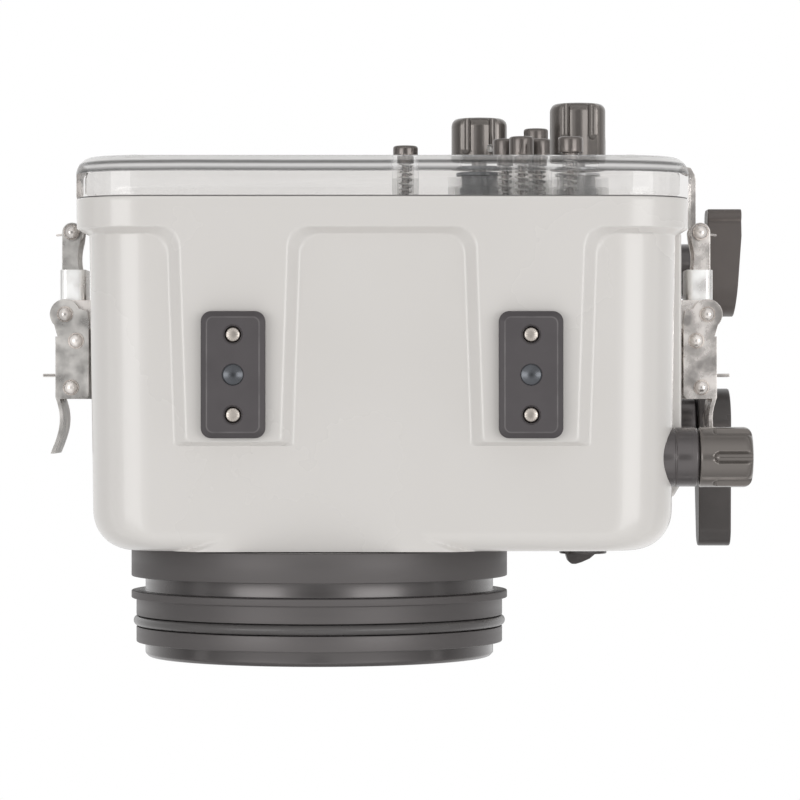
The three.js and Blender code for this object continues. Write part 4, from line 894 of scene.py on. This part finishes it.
def lidBosses():
    start, end, floor = lid["bossEnd"], plateInner - 0.02, lid["bossEnd"] + lid["wellFloor"]
    hole, well, boss, bore, wide = (lid[label] for label in ("stemHole", "well", "boss", "glandBore",
                                                             "knobBoss"))
    cup = [(hole, start), (boss, start), (boss, end), (well, end), (well, floor), (hole, floor), (hole, start)]
    collar = [(bore, start), (wide, start), (wide, end), (bore, end), (bore, start)]
    for kind, places, tube, radius, ease, segments in (("button", buttons, cup, boss, 0.15, 48),
                                                       ("knob", backKnobs, collar, wide, 0.3, 64)):
        # a thin see-through sheet round each boss carries its painted shade
        skin = latheShape([(radius + lid["skin"], start), (radius + lid["skin"], lid["depth"] - 0.2)], 64)
        for label, place in places.items():
            name, at = kind + "Boss", onBack(*place[:2])
            turnedPiece(name + label.title(), tube, "y", at, "back_cover", "bossPlastic", ease, segments,
                        False)
            piece = solid(f"{name}Skin{label.title()}", aimed(skin, "y", at))
            finished(piece, "back_cover", name + "Skin", False)


def backSeal():
    middle = sealGroove["inset"] + sealGroove["width"] / 2
    turn = [2 * math.pi * k / seal["sides"] for k in range(seal["sides"])]
    rings = [lidRing(middle + seal["radius"] * math.cos(a), seal["squash"] * math.sin(a) - seal["squash"])
             for a in turn]
    finished(solid("backSeal", loftShape(rings, "loop")), "back_seal", "sealRubber", sharp=60)
    outer, inner = seal["lip"]
    low, high = lid["skin"], gap - lid["skin"]
    lip = [lidRing(inset, y) for inset, y in ((outer, low), (outer, high), (inner, high), (inner, low))]
    finished(solid("sealLip", loftShape(lip, "loop")), "back_seal", "ringRubber", False)


clearBack()
lidBosses()
backSeal()
print("clear back made")

# push buttons with their springs
button = {"cap": 3.75, "capEdge": 0.7, "stem": 1.15, "tip": 1.6, "tipLength": 2, "clip": 2.2, "clipThick": 0.7,
          "travel": 2, "spare": 0.4, "skirtIn": 2.27, "skirtOut": 2.5}
coil = {"radius": 1.85, "wire": 0.7, "curls": 6, "steps": 20, "sides": 10}
capFloor = lid["depth"] + button["travel"] + button["spare"]


def pushButton(label, across, up, height):
    top, clip = capFloor + height, lid["bossEnd"] - gap
    neck, foot = clip - button["clipThick"], lid["depth"] + 0.2
    tip, cap, edge = button["tip"], button["cap"], button["capEdge"]
    profile = [(0, neck - button["tipLength"]), (tip, neck - button["tipLength"]), (tip, neck),
               (button["clip"], neck), (button["clip"], clip), (button["stem"], clip),
               (button["stem"], capFloor), (button["skirtIn"], capFloor), (button["skirtIn"], foot),
               (button["skirtOut"], foot), (button["skirtOut"], capFloor), (cap, capFloor), (cap, top - edge),
               (cap - 0.2, top - 0.22), (cap - edge, top), (0, top - 0.05)]
    turnedPiece(f"button{label.title()}", profile, "y", onBack(across, up), f"push_button_{label}",
                "buttonMetal", 0.2, 48)


def returnSpring(label, across, up):
    x, _, z = onBack(across, up)
    low, high = lid["bossEnd"] + lid["wellFloor"] + gap, capFloor - gap
    start, end = low + coil["wire"] / 2, high - coil["wire"] / 2
    total = coil["curls"] * coil["steps"]
    line = []
    for i in range(total + 1):
        share = i / total
        angle = 2 * math.pi * coil["curls"] * share
        closed = 0.5 - 0.5 * math.cos(math.pi * share)
        along = start + (end - start) * (0.75 * share + 0.25 * closed)
        line.append((x + coil["radius"] * math.cos(angle), along, z + coil["radius"] * math.sin(angle)))
    piece = solid(f"spring{label.title()}", tubeShape(line, coil["wire"] / 2, coil["sides"]))
    finished(piece, f"button_spring_{label}", "springSteel", sharp=60)
    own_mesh(piece)


for label, (across, up, height) in buttons.items():
    pushButton(label, across, up, height)
    returnSpring(label, across, up)
print("push buttons made")

# knobs with ball-ended flutes, and their shafts and glands
knob = {"radius": 8.85, "length": 15.6, "edge": 2.4, "fluteRadius": 1.7, "flutes": 6, "fluteLength": 10,
        "fluteDepth": 1.5, "lift": 2.6, "dish": 0.25}
shaft = {"radius": 2.4, "drive": 4.6, "driveLength": 4, "hold": 8, "rearHold": 7.1, "reach": 9,
         "sideStart": 70}
setScrew = {"turn": -112, "up": 4.9, "radius": 1.25, "hole": 0.75, "deep": 0.8}
backGland = {"inside": 6.2, "neck": 5.6, "head": 7.2, "headHeight": 1.2, "start": 5}
gland = {"nut": 6.4, "nutHeight": 3, "neck": 5, "head": 8.7, "groove": 8.45, "end": 8.1}
sideRest = {"side_knob": (-75.9, 23.3, 84, 8.8, 79.5, 4), "shutter_lever": (-66.5, 98, 88.5, 9.7, 82, 0),
            "rear_lever": (-18.6, 100, 88.5, 13, 82, 0)}  # back, up, foot, length, inside, sunk
bore = shaft["radius"] + gap


def knobPiece(name, foot, length, axis, at, nodeName, turnShare):  # turnShare: of the flutes' pitch
    full, edge, low, dish = knob["radius"], knob["edge"], length - knob["fluteLength"], knob["dish"]
    heights = [0, 0.15, 0.4] + list(np.arange(1.0, low - 1.7, 0.8))
    heights += list(np.arange(low - 1.7, low + 0.3, 0.2)) + list(np.arange(low + 0.3, length - edge, 1.2))
    profile = [(0, 0)] + [(full - (0.3 - z if z < 0.3 else 0), z) for z in heights]
    for k in range(8):
        spin = quarter * k / 7
        profile.append((full - edge * (1 - math.cos(spin)), length - edge * (1 - math.sin(spin))))
    profile += [(full - edge - 1.2, length), (full - edge - 1.5, length - dish), (0, length - dish)]
    pitch = 2 * math.pi / knob["flutes"]
    centre = full + knob["fluteRadius"] - knob["fluteDepth"]

    def fluted(radius, along, angle):
        drop = max(0.0, low - along + foot)
        reach = math.sqrt(max(0.0, knob["fluteRadius"] ** 2 - drop ** 2))
        turn = ((angle - (turnShare - 0.5) * pitch) % pitch) - pitch / 2
        aside = centre * math.sin(turn)
        cutAt = centre * math.cos(turn) - math.sqrt(reach ** 2 - aside ** 2) if abs(aside) < reach else radius
        return min(radius, cutAt)
    shape = latheShape([(radius, foot + z) for radius, z in profile], 180, fluted)
    finished(solid(name, aimed(shape, axis, at)), nodeName, "knobMetal", sharp=48)


def knobSetScrew(foot, at, nodeName):  # the ring of a small screw in the side of a knob
    turn, hole, wide, deep = (setScrew[label] for label in ("turn", "hole", "radius", "deep"))
    out = np.array([math.cos(math.radians(turn)), math.sin(math.radians(turn))])
    side = np.array([-out[1], out[0]])
    spot = out * (knob["radius"] - 0.35)
    ring = [(0, -0.2), (hole, -0.2), (hole, 0.3), (wide, 0.4), (wide, -deep), (0, -deep)]
    points, faces = latheShape(eased(ring, 0.1), 28)
    moved = [(*(spot + side * a + out * c), foot + setScrew["up"] + b) for a, b, c in points]
    finished(solid("knobSetScrew", aimed((moved, faces), "y", at)), nodeName, "drawnSteel", False)


def shaftPiece(name, inner, outer, axis, at, nodeName):
    drive, radius, step = shaft["drive"], shaft["radius"], inner + shaft["driveLength"]
    profile = [(0, inner), (drive, inner), (drive, step), (radius, step), (radius, outer), (0, outer)]
    turnedPiece(name, profile, axis, at, nodeName, "drawnSteel", 0.3, 40)


def backKnob(label, across, up, length):
    at, nodeName = onBack(across, up), f"back_knob_{label}"
    foot = lid["depth"] + knob["lift"]
    knobPiece(f"knob{label.title()}", foot, length, "y", at, nodeName, 0)
    if label == "inner":
        knobSetScrew(foot, at, nodeName)
    inner = lid["bossEnd"] - gap - gland["nutHeight"] - shaft["reach"]
    shaftPiece(f"knobShaft{label.title()}", inner, foot + shaft["hold"], "y", at, nodeName + "_shaft")
    wide, neck, head = backGland["inside"], backGland["neck"], backGland["head"]
    low, high, rise = lid["bossEnd"], plateInner - 0.1, lid["depth"] + gap
    top, start = rise + backGland["headHeight"], backGland["start"]
    ring = [(bore, start), (bore, low), (wide, low), (wide, high), (neck, high), (neck, rise), (head, rise),
            (head, top), (bore, top), (bore, start)]
    turnedPiece(f"knobGland{label.title()}", ring, "y", at, nodeName + "_gland",
                "glandAlloy" if label == "inner" else "paleAlloy", 0.15, 64)


def sideControl(nodeName, y, z, foot, length, inside, sunk):
    words = nodeName.split("_")
    name, at = words[0] + words[1].title(), (0, y, z)
    nut, neck, wide, groove = gland["nut"], gland["neck"], gland["head"], gland["groove"]
    seatAt, head, top = inside - gap, foot + gap - sunk, foot + length
    start = seatAt - gland["nutHeight"]
    profile = [(bore, foot), (bore, start), (nut, start), (nut, seatAt), (neck, seatAt), (neck, head),
               (wide, head), (wide, foot + 1.6), (groove, foot + 1.8), (groove, foot + 2.1),
               (wide, foot + 2.3), (wide, top - 0.6), (gland["end"], top), (bore, top), (bore, foot)]
    turnedPiece(name + "Gland", profile, "-x", at, f"{nodeName}_gland", "glandMetal", 0.2, 96)
    hold = shaft["rearHold" if nodeName == "rear_lever" else "hold"]
    shaftPiece(name + "Shaft", shaft["sideStart"], top + hold, "-x", at, f"{nodeName}_shaft")


def sideKnob():
    y, z, foot, length = sideRest["side_knob"][:4]
    knobPiece("sideKnob", foot + length + gap, knob["length"], "-x", (0, y, z), "side_knob", 0.5)


for label, (across, up, length) in backKnobs.items():
    backKnob(label, across, up, length)
for nodeName, rest in sideRest.items():
    sideControl(nodeName, *rest)
sideKnob()
print("knobs made")

# the levers on the side and the lens release on the front
shutter = {"thick": 10.1, "hub": 11, "reach": 38.3, "arm": 12, "drop": 4, "edge": 0.5, "screw": 3.4}
rearLever = {"thick": 10.6, "taper": 2.4, "hub": 9.8, "rear": 19.5, "front": 14.2, "tail": 13, "corner": 3,
             "flat": 8.5, "roll": 2.1, "rollDrop": 0.35}
release = {"across": 61, "up": 62, "hub": 7.2, "thick": 2.4, "grip": 11, "half": 6, "rise": 5.4,
           "gland": 5.4, "stem": 2, "inner": 9,
           "wave": ((1, 0.0), (0.9, 0.45), (0.78, 0.85), (0.62, 1), (0.4, 1), (0.1, 0.9), (-0.3, 0.7),
                    (-0.75, 0.28), (-1, 0.0))}


def shutterLever():
    y, z, foot, length = sideRest["shutter_lever"][:4]
    tipRadius = shutter["arm"] / 2
    tip, tipUp = y - shutter["reach"] + tipRadius, z - shutter["drop"]
    lean = math.asin((shutter["hub"] - tipRadius) / math.hypot(y - tip, shutter["drop"]))
    tilt = math.atan2(z - tipUp, y - tip)
    outline = arc(y, z, shutter["hub"], tilt - quarter - lean, tilt + quarter + lean, 28)
    outline += arc(tip, tipUp, tipRadius, tilt + quarter + lean, tilt + 3 * quarter - lean, 20)
    low = foot + length + gap
    top, wide = low + shutter["thick"], shutter["screw"]
    prismPiece("shutterLever", outline, low, top, "-x", "shutter_lever", "controlPlastic", shutter["edge"])
    face = [(0, top - 1), (wide, top - 1), (wide, top - 0.3), (0, top - 0.05)]
    turnedPiece("shutterScrew", face, "-x", (0, y, z), "shutter_lever", "drawnSteel", 0.2, 40, False)


def rearPaddle():
    y, z, foot, length = sideRest["rear_lever"][:4]
    rear, front = y + rearLever["rear"], y - rearLever["front"]
    half, corner, hub, roll = rearLever["tail"] / 2, rearLever["corner"], rearLever["hub"], rearLever["roll"]
    outline = arc(front + hub, z, hub, quarter, 3 * quarter, 28)
    outline += [(rear - 2.2 * roll, z - half + 0.3)]
    outline += arc(rear - roll, z - half + roll - rearLever["rollDrop"], roll, -1.65 * quarter, 0, 14)
    outline += arc(rear - corner, z + half - corner, corner, 0, quarter, 8)
    low = foot + length + gap
    outer = low + rearLever["thick"]
    body = solid("rearLever", aimed(prismShape(outline, low, outer + 1), "-x"))
    plan = [(-low + 2, front - 2), (-low + 2, rear + 2), (-outer, rear + 2),
            (-outer, rear - rearLever["flat"]), (rearLever["taper"] - outer, front - 2)]
    combined(body, prismShape(plan, z - hub - 1, z + hub + 1), "INTERSECT")
    softened(body, 0.5, 4, 33)
    finished(body, "rear_lever", "paddlePlastic", weighted=True)


def lensRelease():
    face, inside, half = -shell["depth"], -shell["frontWall"], release["half"]
    at, wide, hub = (-release["across"], face, release["up"]), release["gland"], release["hub"]
    top, stem, start = gap + release["thick"], release["stem"], inside - release["inner"]
    disc = [(0, start), (wide, start), (wide, inside - gap), (stem, inside - gap), (stem, gap), (hub, gap),
            (hub, top), (0, top)]
    turnedPiece("lensRelease", disc, "-y", at, "lens_release_lever", "controlPlastic", 0.4, 64)
    outline = [(at[0] + half * a, face - gap - max(0.4, release["rise"] * b)) for a, b in release["wave"]]
    outline += [(at[0] + side * half * 0.9, face - gap - 0.1) for side in (-1, 1)]
    low, high = release["up"] - release["grip"] / 2, release["up"] + release["grip"] / 2
    prismPiece("lensGrip", outline, low, high, "z", "lens_release_lever", "controlPlastic", 0.4, False)
    hole = stem + gap
    ring = [(hole, -1), (hole, inside), (wide, inside), (wide, 0), (hole, 0), (hole, -1)]
    turnedPiece("lensGland", ring, "-y", at, "lens_release_gland", "anodisedMetal", 0.2, 48)


shutterLever()
rearPaddle()
lensRelease()
print("levers made")

# the flash connector on the top
bulkhead = {"across": 42, "back": 58, "radius": 9.6, "height": 4, "neck": 6.2, "socket": 4.2, "deep": 5,
            "nut": 3, "spigot": 4}
cap = {"radius": 9, "height": 8.4, "bore": 6.5, "edge": 8.7, "top": 8.0, "knurls": 40, "steps": 6,
       "dent": 0.35}


def flashConnector():
    at = (bulkhead["across"], -bulkhead["back"], shell["high"])
    inside, top = -shell["wall"] - gap, bulkhead["height"]
    spigot = top + bulkhead["spigot"]
    wide, neck, socket = bulkhead["radius"], bulkhead["neck"], bulkhead["socket"]
    foot = inside - bulkhead["nut"]
    profile = [(0, foot), (wide, foot), (wide, inside), (neck, inside), (neck, gap), (wide, gap), (wide, top),
               (neck, top), (neck, spigot), (socket, spigot), (socket, spigot - bulkhead["deep"]),
               (0, spigot - bulkhead["deep"])]
    turnedPiece("flashBulkhead", profile, "z", at, "flash_bulkhead", "anodisedMetal", 0.35, 72)
    low, high, full, hole, edge = top + gap, top + gap + cap["height"], cap["radius"], cap["bore"], cap["edge"]
    levels = [(hole, spigot + gap, 0), (hole, low, 0), (edge, low, 0), (full, low + 0.3, 0),
              (full, low + 1.2, 0), (full, low + 1.6, 1), (full, high - 2.4, 1), (full, high - 2.0, 0),
              (full, high - 1.2, 0), (edge, high - 0.5, 0), (cap["top"], high, 0)]
    count = cap["knurls"] * cap["steps"]
    turn = np.arange(count) * 2 * math.pi / count
    rings = []
    for radius, z, cutIn in levels:
        size = radius - cutIn * cap["dent"] * np.abs(np.sin(turn * cap["knurls"] / 2))
        across, along = at[0] + size * np.cos(turn), at[1] + size * np.sin(turn)
        rings.append(np.stack([across, along, 0 * turn + at[2] + z], 1))
    finished(solid("bulkheadCap", loftShape(rings)), "bulkhead_cap", "controlPlastic", sharp=30)


flashConnector()
print("flash connector made")

# the two draw latches: "out" is from the wall, "back" from the shell's rear face
latch = {"up": 62, "sheet": 1.2, "half": 11.5, "pivot": (9.5, 33.2), "link": (6.15, 41.2), "hook": (7.75, 8.3),
         "tab": (7.7, 55.3), "pin": 1.5, "head": 2.15, "headRise": 1.3, "lobe": 4.6, "leverEnd": 58.8,
         "webStart": 39.9, "webOut": 12.4, "webEnd": 60.3, "notchEnd": 47.6, "tailEnd": 75.3, "tailOut": 13.9,
         "tailBow": 1.9, "baseStart": 27, "baseEnd": 57, "innerEdge": 2.3, "sleeve": (19.6, 29, 3.5, 11.5),
         "armOut": 10.8, "armIn": 5.3, "armHead": 3, "eye": 2.7, "strapIn": 5, "strapSheet": 1.5,
         "strapHalf": 5.4, "tabPlate": 1, "tabReach": 17, "tabHalf": 3.4, "tabTravel": 3.2, "tabLine": 51.6,
         "rivets": (48, 52.5)}
latchWalls = ((1, 86.5), (-1, 88.5))
earOuter = latch["half"] - latch["sheet"] - gap
earInner = earOuter - latch["sheet"]
linkHalf = earInner - gap


class Side:  # one latch's wall: turns (out, back, up) into places on either side of the shell
    def __init__(self, sign, wall):
        self.sign, self.wall, self.name = sign, wall, "left" if sign > 0 else "right"
        # the left latch's lever and arms take the darker copy of the steel: painted shade
        self.plain = "dulledSteel" if sign > 0 else "polishedSteel"

    def place(self, shape):
        out, back, up = np.array(shape[0], float).T
        return np.stack([self.sign * (self.wall + out), back, up + latch["up"]], 1), shape[1]

    def solid(self, name, shape):
        return solid(name + self.name.title(), self.place(shape))

    def combine(self, piece, shape, operation="UNION"):
        combined(piece, self.place(shape), operation)

    def finish(self, piece, nodeName, soften=0.2, stands=True, look="polishedSteel"):
        if soften:
            softened(piece, soften, 2, 28)
        finished(piece, f"{nodeName}_{self.name}", look, stands, weighted=True)

    def pin(self, name, end, at, nodeName, stands=True):
        head, rise, radius = latch["head"], latch["headRise"], latch["pin"]
        dome = [(head * math.cos(quarter * k / 6), end + rise * math.sin(quarter * k / 6)) for k in range(7)]
        profile = [(0, 0), (radius, 0), (radius, end), (head + 0.25, end), (head + 0.25, end + 0.12)] + dome
        points, faces = latheShape(profile, 36)
        points = np.array(points)
        both = np.concatenate([points, points * np.array([1, 1, -1])]) + np.array([at[0], -at[1], 0])
        faces = faces + [[i + len(points) for i in face] for face in faces]
        faces = [face for face in faces if not all(abs(both[i][2]) < 1e-6 for i in face)]
        self.finish(self.solid(name, (both, faces)), nodeName, 0, stands)


def latchBase(side):
    low, high, start, end = gap, gap + latch["sheet"], -latch["baseStart"], -latch["baseEnd"]
    foot = [(low, end), (high, end), (high, start), (low, start)]
    piece = side.solid("latchBase", prismShape(foot, -earOuter, earOuter))
    out, back = latch["pivot"]
    lobe = latch["lobe"] - gap
    ear = arc(out, -back, lobe, -quarter, quarter, 20) + [(gap, lobe - back), (gap, -lobe - back)]
    for low, high in ((earInner, earOuter), (-earOuter, -earInner)):
        side.combine(piece, prismShape(ear, low, high))
    side.finish(piece, "latch_base")
    side.pin("latchPivot", latch["half"] + gap, latch["pivot"], "latch_base", False)
    rivet = latheShape(eased([(0, 1.4), (1.7, 1.4), (1.6, 1.9), (0.9, 2.2), (0, 2.25)], 0.2), 28)
    for back in latch["rivets"]:
        piece = side.solid(f"baseRivet{int(back)}", aimed(rivet, "x", (0, -back, 0)))
        side.finish(piece, "latch_base", 0, False)


def latchLever(side):
    sheet, half, edge, webOut = latch["sheet"], latch["half"], latch["innerEdge"], latch["webOut"]
    inner = webOut - sheet
    out, back = latch["pivot"]
    cheek = [(edge + 1, -latch["leverEnd"]), (inner + sheet / 2, -latch["leverEnd"]),
             (webOut - sheet / 2, -latch["webStart"])]
    cheek += arc(out, -back, latch["lobe"], -quarter / 2, 1.75 * quarter, 24)
    cheek += [(edge + 0.4, -back + latch["head"] - 1.2), (edge, -back - latch["head"]),
              (edge, 1 - latch["leverEnd"])]
    piece = side.solid("latchLever", prismShape(cheek, half - sheet, half))
    side.combine(piece, prismShape(cheek, -half, sheet - half))
    tailStart, tailEnd = 2 - latch["webEnd"], -latch["tailEnd"]
    outerLine = [(webOut, -latch["webStart"]), (webOut, tailStart)]
    for k in range(1, 15):
        t = k / 14
        sway = latch["tailBow"] * math.sin(math.pi * t) * (1 - 0.35 * t)
        along = tailStart + (tailEnd - tailStart) * t
        outerLine.append((webOut + (latch["tailOut"] - webOut) * t * t - sway, along))
    web = outerLine + [(a - sheet, b) for a, b in reversed(outerLine)]
    side.combine(piece, prismShape(web, -half, half))
    notch, wide, line = linkHalf + sheet / 2, latch["tabHalf"] + gap, -latch["tabLine"]
    opening = roundedBox((-latch["notchEnd"], -notch), (2 - latch["webStart"], notch), 2)
    slot = roundedBox((line - latch["tabTravel"], -wide), (line + gap + latch["tabPlate"] / 2, wide), 0.6)
    for outline in (opening, slot):
        side.combine(piece, aimed(prismShape(outline, inner - 1, webOut + 1), "x"), "DIFFERENCE")
    side.finish(piece, "latch_lever", 0.22, look=side.plain)
    side.pin("latchLinkPin", half + gap, latch["link"], "latch_link_pin")


def latchLink(side):
    rearEnd, frontEnd, low, high = latch["sleeve"]
    sheet, slim, head = latch["sheet"], latch["pin"], latch["armHead"]
    outer = roundedBox((low, -linkHalf), (high, linkHalf), 2.2)
    inner = roundedBox((low + sheet, sheet - linkHalf), (high - sheet, linkHalf - sheet), 0.8)

    def along(outline, start, end):
        points, faces = prismShape(outline, start, end)
        return np.array(points)[:, [0, 2, 1]], faces
    piece = side.solid("latchLink", along(outer, -frontEnd, -rearEnd))
    side.combine(piece, along(inner, -frontEnd - 1, -rearEnd + 1), "DIFFERENCE")
    side.finish(piece, "latch_link", look="sleeveSteel")
    out, back = latch["link"]
    tongue = arc(out, -back, slim + sheet, -2 * quarter, 0, 16)
    tongue += [(out + slim, sheet + 1 - back), (out + slim, 1 - frontEnd), (out - slim, 1 - frontEnd),
               (out - slim, sheet + 1 - back)]
    hookOut, hookBack = latch["hook"]
    arm = [(latch["armOut"], -rearEnd - 1)] + arc(hookOut, -hookBack, head, 0, 2 * quarter, 20)
    for k in range(1, 9):
        t = k / 8
        bow = 0.9 * math.sin(math.pi * t)
        arm.append((hookOut - head + (latch["armIn"] - hookOut + head) * t ** 1.6 + bow,
                    -hookBack - 1.5 - (rearEnd - hookBack - 0.5) * t))
    half = linkHalf - sheet - 0.05
    for name, outline in (("latchTongue", tongue), ("latchArm", arm)):
        arms = side.solid(name, prismShape(outline, half - sheet, half))
        side.combine(arms, prismShape(outline, -half, sheet - half))
        side.finish(arms, "latch_link", 0.25, False, side.plain)
    side.pin("latchHookPin", linkHalf + gap, latch["hook"], "latch_hook_pin")


def latchHook(side):
    hookOut, hookBack = latch["hook"]
    thick, half, eyeRadius = latch["strapSheet"], latch["strapHalf"], latch["eye"]
    low = latch["strapIn"]
    high, end, tip = low + thick, lid["depth"] - gap, flangeHalf + gap - side.wall
    bend, root = end - 2 * thick, eyeRadius / 2 - hookBack
    piece = side.solid("latchHook", prismShape(arc(hookOut, -hookBack, eyeRadius, 0, 4 * quarter, 28)[:-1],
                                               -half, half))
    strap = [(high, root), (high, bend - 1), (high - 0.35, bend + 0.6),
             ((tip + high) / 2 + thick / 2, end - 0.4), (tip + 0.9, end), (tip + gap, end),
             (tip, end - thick / 2), (tip + 0.35, end - thick), (low, bend), (low, root)]
    side.combine(piece, prismShape(strap, -half, half))
    reach, slant = hookOut + 2 * eyeRadius, latch["sheet"] / 2
    lug = [(hookOut, gap - hookBack), (hookOut, -gap - hookBack), (reach, -gap - hookBack - slant),
           (reach, gap - hookBack - slant)]
    side.combine(piece, prismShape(lug, -1, 1))
    hole = arc(hookOut, -hookBack, latch["pin"] + gap, 0, 4 * quarter, 24)[:-1]
    side.combine(piece, prismShape(hole, -half - 1, half + 1), "DIFFERENCE")
    side.finish(piece, "latch_hook")


def lockTab(side):
    side.pin("lockPin", latch["half"] + gap, latch["tab"], "latch_lock_tab")
    out, back = latch["tab"]
    thin, line, reach, half = latch["tabPlate"] / 2, -latch["tabLine"], latch["tabReach"], latch["tabHalf"]
    arm = [(out - 1, -back), (out + 1, -back), (out + 1, line - thin), (reach, line - thin),
           (reach, line + thin), (out - 1, line + thin)]
    side.finish(side.solid("lockArm", prismShape(arm, -half, half)), "latch_lock_tab", 0.25, False)


for sign, wall in latchWalls:
    latchSide = Side(sign, wall)
    for makePart in (latchBase, latchLever, latchLink, latchHook, lockTab):
        makePart(latchSide)
print("latches made")

# floor, light and camera
stage = {"floor": 6.0, "floorLevel": -0.0002, "floorColour": (0.86, 0.86, 0.86), "world": 0.6,
         "sideMirror": 0.3, "topMirror": 1.05, "straightMirror": 0.3, "footprint": (0.13, 0.11),
         "cameraAt": (-0.00073, -0.0080, -1.040), "lens": 162.5}  # places and sizes in metres
middle = (0, 0, 0.07)
lamps = {"overLamp": ((0.5, 0.7, 1.6), middle, (1.2, 1.2), 12),
         "frontLamp": ((-0.9, -1.3, 0.9), middle, (0.9, 0.9), 6.6),
         "underLamp": ((0.0, 0.1, -1.5), middle, (1.0, 1.0), 1.75),
         "frontFill": ((0.1, -1.2, -0.55), (0, 0, 0.05), (0.9, 0.9), 1.3)}
underStrip = {"far": {-1: 0.64, 1: 0.68}, "down": -0.78, "aim": (0.07, 0.02), "size": (0.4, 0.62),
              "power": 1.85}
sideFill = {"far": 1.3, "back": 0.1, "down": -0.35, "aim": (0, 0, 0.05), "size": (0.9, 0.9),
            "power": {-1: 2.2, 1: 1.4}}


def floorFinish():  # seen by the camera, and by bent rays away from the object, and only from above
    material, tree, shader = newMaterial("floorPaper", Base_Color=stage["floorColour"])
    grain = placed(tree, speckle, Scale=60.0, Blotch_Scale=2.0, Low=0.8, High=0.9)
    fill(tree, shader, Roughness=grain["Roughness"])
    path = node(tree, "LightPath").outputs
    place = parts(tree, objectPlace(tree))
    beyond = [calc(tree, "GREATER_THAN", calc(tree, "ABSOLUTE", side), half)
              for side, half in zip(place, stage["footprint"])]
    bent = calc(tree, "MAXIMUM", path["Is Glossy Ray"], path["Is Transmission Ray"])
    bentOut = calc(tree, "MULTIPLY", bent, calc(tree, "MAXIMUM", *beyond))
    seen = calc(tree, "MAXIMUM", path["Is Camera Ray"], bentOut)
    shown = calc(tree, "MULTIPLY", seen, outside(tree))
    paper = tree.nodes["Principled BSDF"].outputs[0]
    mix = node(tree, "MixShader", {0: shown, 1: node(tree, "BsdfTransparent").outputs[0], 2: paper})
    tree.links.new(mix.outputs[0], tree.nodes["Material Output"].inputs["Surface"])
    return material


def studioFloor():
    half = stage["floor"] / 2
    mesh = bpy.data.meshes.new("studioFloor")
    corners = [(-half, -half), (half, -half), (half, half), (-half, half)]
    mesh.from_pydata([(x, y, stage["floorLevel"]) for x, y in corners], [], [(0, 1, 2, 3)])
    floor = bpy.data.objects.new("studioFloor", mesh)
    bpy.context.scene.collection.objects.link(floor)
    mesh.materials.append(floorFinish())


def studioWorld():  # white behind the object, an even grey as ambient light, darker sides in reflections
    world = bpy.data.worlds.new("studioWorld")
    bpy.context.scene.world = world
    world.use_nodes = True
    tree = world.node_tree
    path = node(tree, "LightPath").outputs
    steep = calc(tree, "ABSOLUTE", parts(tree, node(tree, "TexCoord").outputs["Generated"])["Z"])
    mirrored = spread(tree, steep, 0.1, 0.75, stage["sideMirror"], stage["topMirror"])
    straight = spread(tree, steep, 0.965, 0.988, 1.0, stage["straightMirror"])
    glossy = calc(tree, "MULTIPLY", mirrored, straight)
    indirect = node(tree, "Mix", {0: path["Is Glossy Ray"], 2: stage["world"], 3: glossy}).outputs[0]
    seen = calc(tree, "MAXIMUM", path["Is Camera Ray"], path["Is Transmission Ray"])
    level = node(tree, "Mix", {0: seen, 2: indirect, 3: 1.0}).outputs[0]
    fill(tree, tree.nodes["Background"].inputs, Color=(1, 1, 1), Strength=level)


def softLamp(name, at, aim, size, power, mirrored=False):  # mirrored: glossy surfaces show the lamp
    data = bpy.data.lights.new(name, "AREA")
    data.shape = "RECTANGLE"
    data.size, data.size_y = size
    data.energy = power
    lamp = bpy.data.objects.new(name, data)
    bpy.context.scene.collection.objects.link(lamp)
    lamp.location = at
    lamp.rotation_euler = (Vector(aim) - Vector(at)).to_track_quat("-Z", "Y").to_euler()
    lamp.visible_glossy = mirrored


def studioLights():
    for name, settings in lamps.items():
        softLamp(name, *settings)
    for sign in (-1, 1):
        aimX, aimZ = underStrip["aim"]
        softLamp(f"underStrip{sign + 2}", (sign * underStrip["far"][sign], 0.0, underStrip["down"]),
                 (sign * aimX, 0, aimZ), underStrip["size"], underStrip["power"], True)
        softLamp(f"sideFill{sign + 2}", (sign * sideFill["far"], sideFill["back"], sideFill["down"]),
                 sideFill["aim"], sideFill["size"], sideFill["power"][sign])


def studioCamera():
    data = bpy.data.cameras.new("camera")
    data.lens = stage["lens"]
    data.sensor_width = 36
    camera = bpy.data.objects.new("camera", data)
    bpy.context.scene.collection.objects.link(camera)
    camera.location = stage["cameraAt"]
    camera.rotation_euler = (0, math.pi, 0)
    bpy.context.scene.camera = camera


studioFloor()
studioWorld()
studioLights()
studioCamera()
bpy.context.scene.view_settings.view_transform = "Standard"
print("stage set")
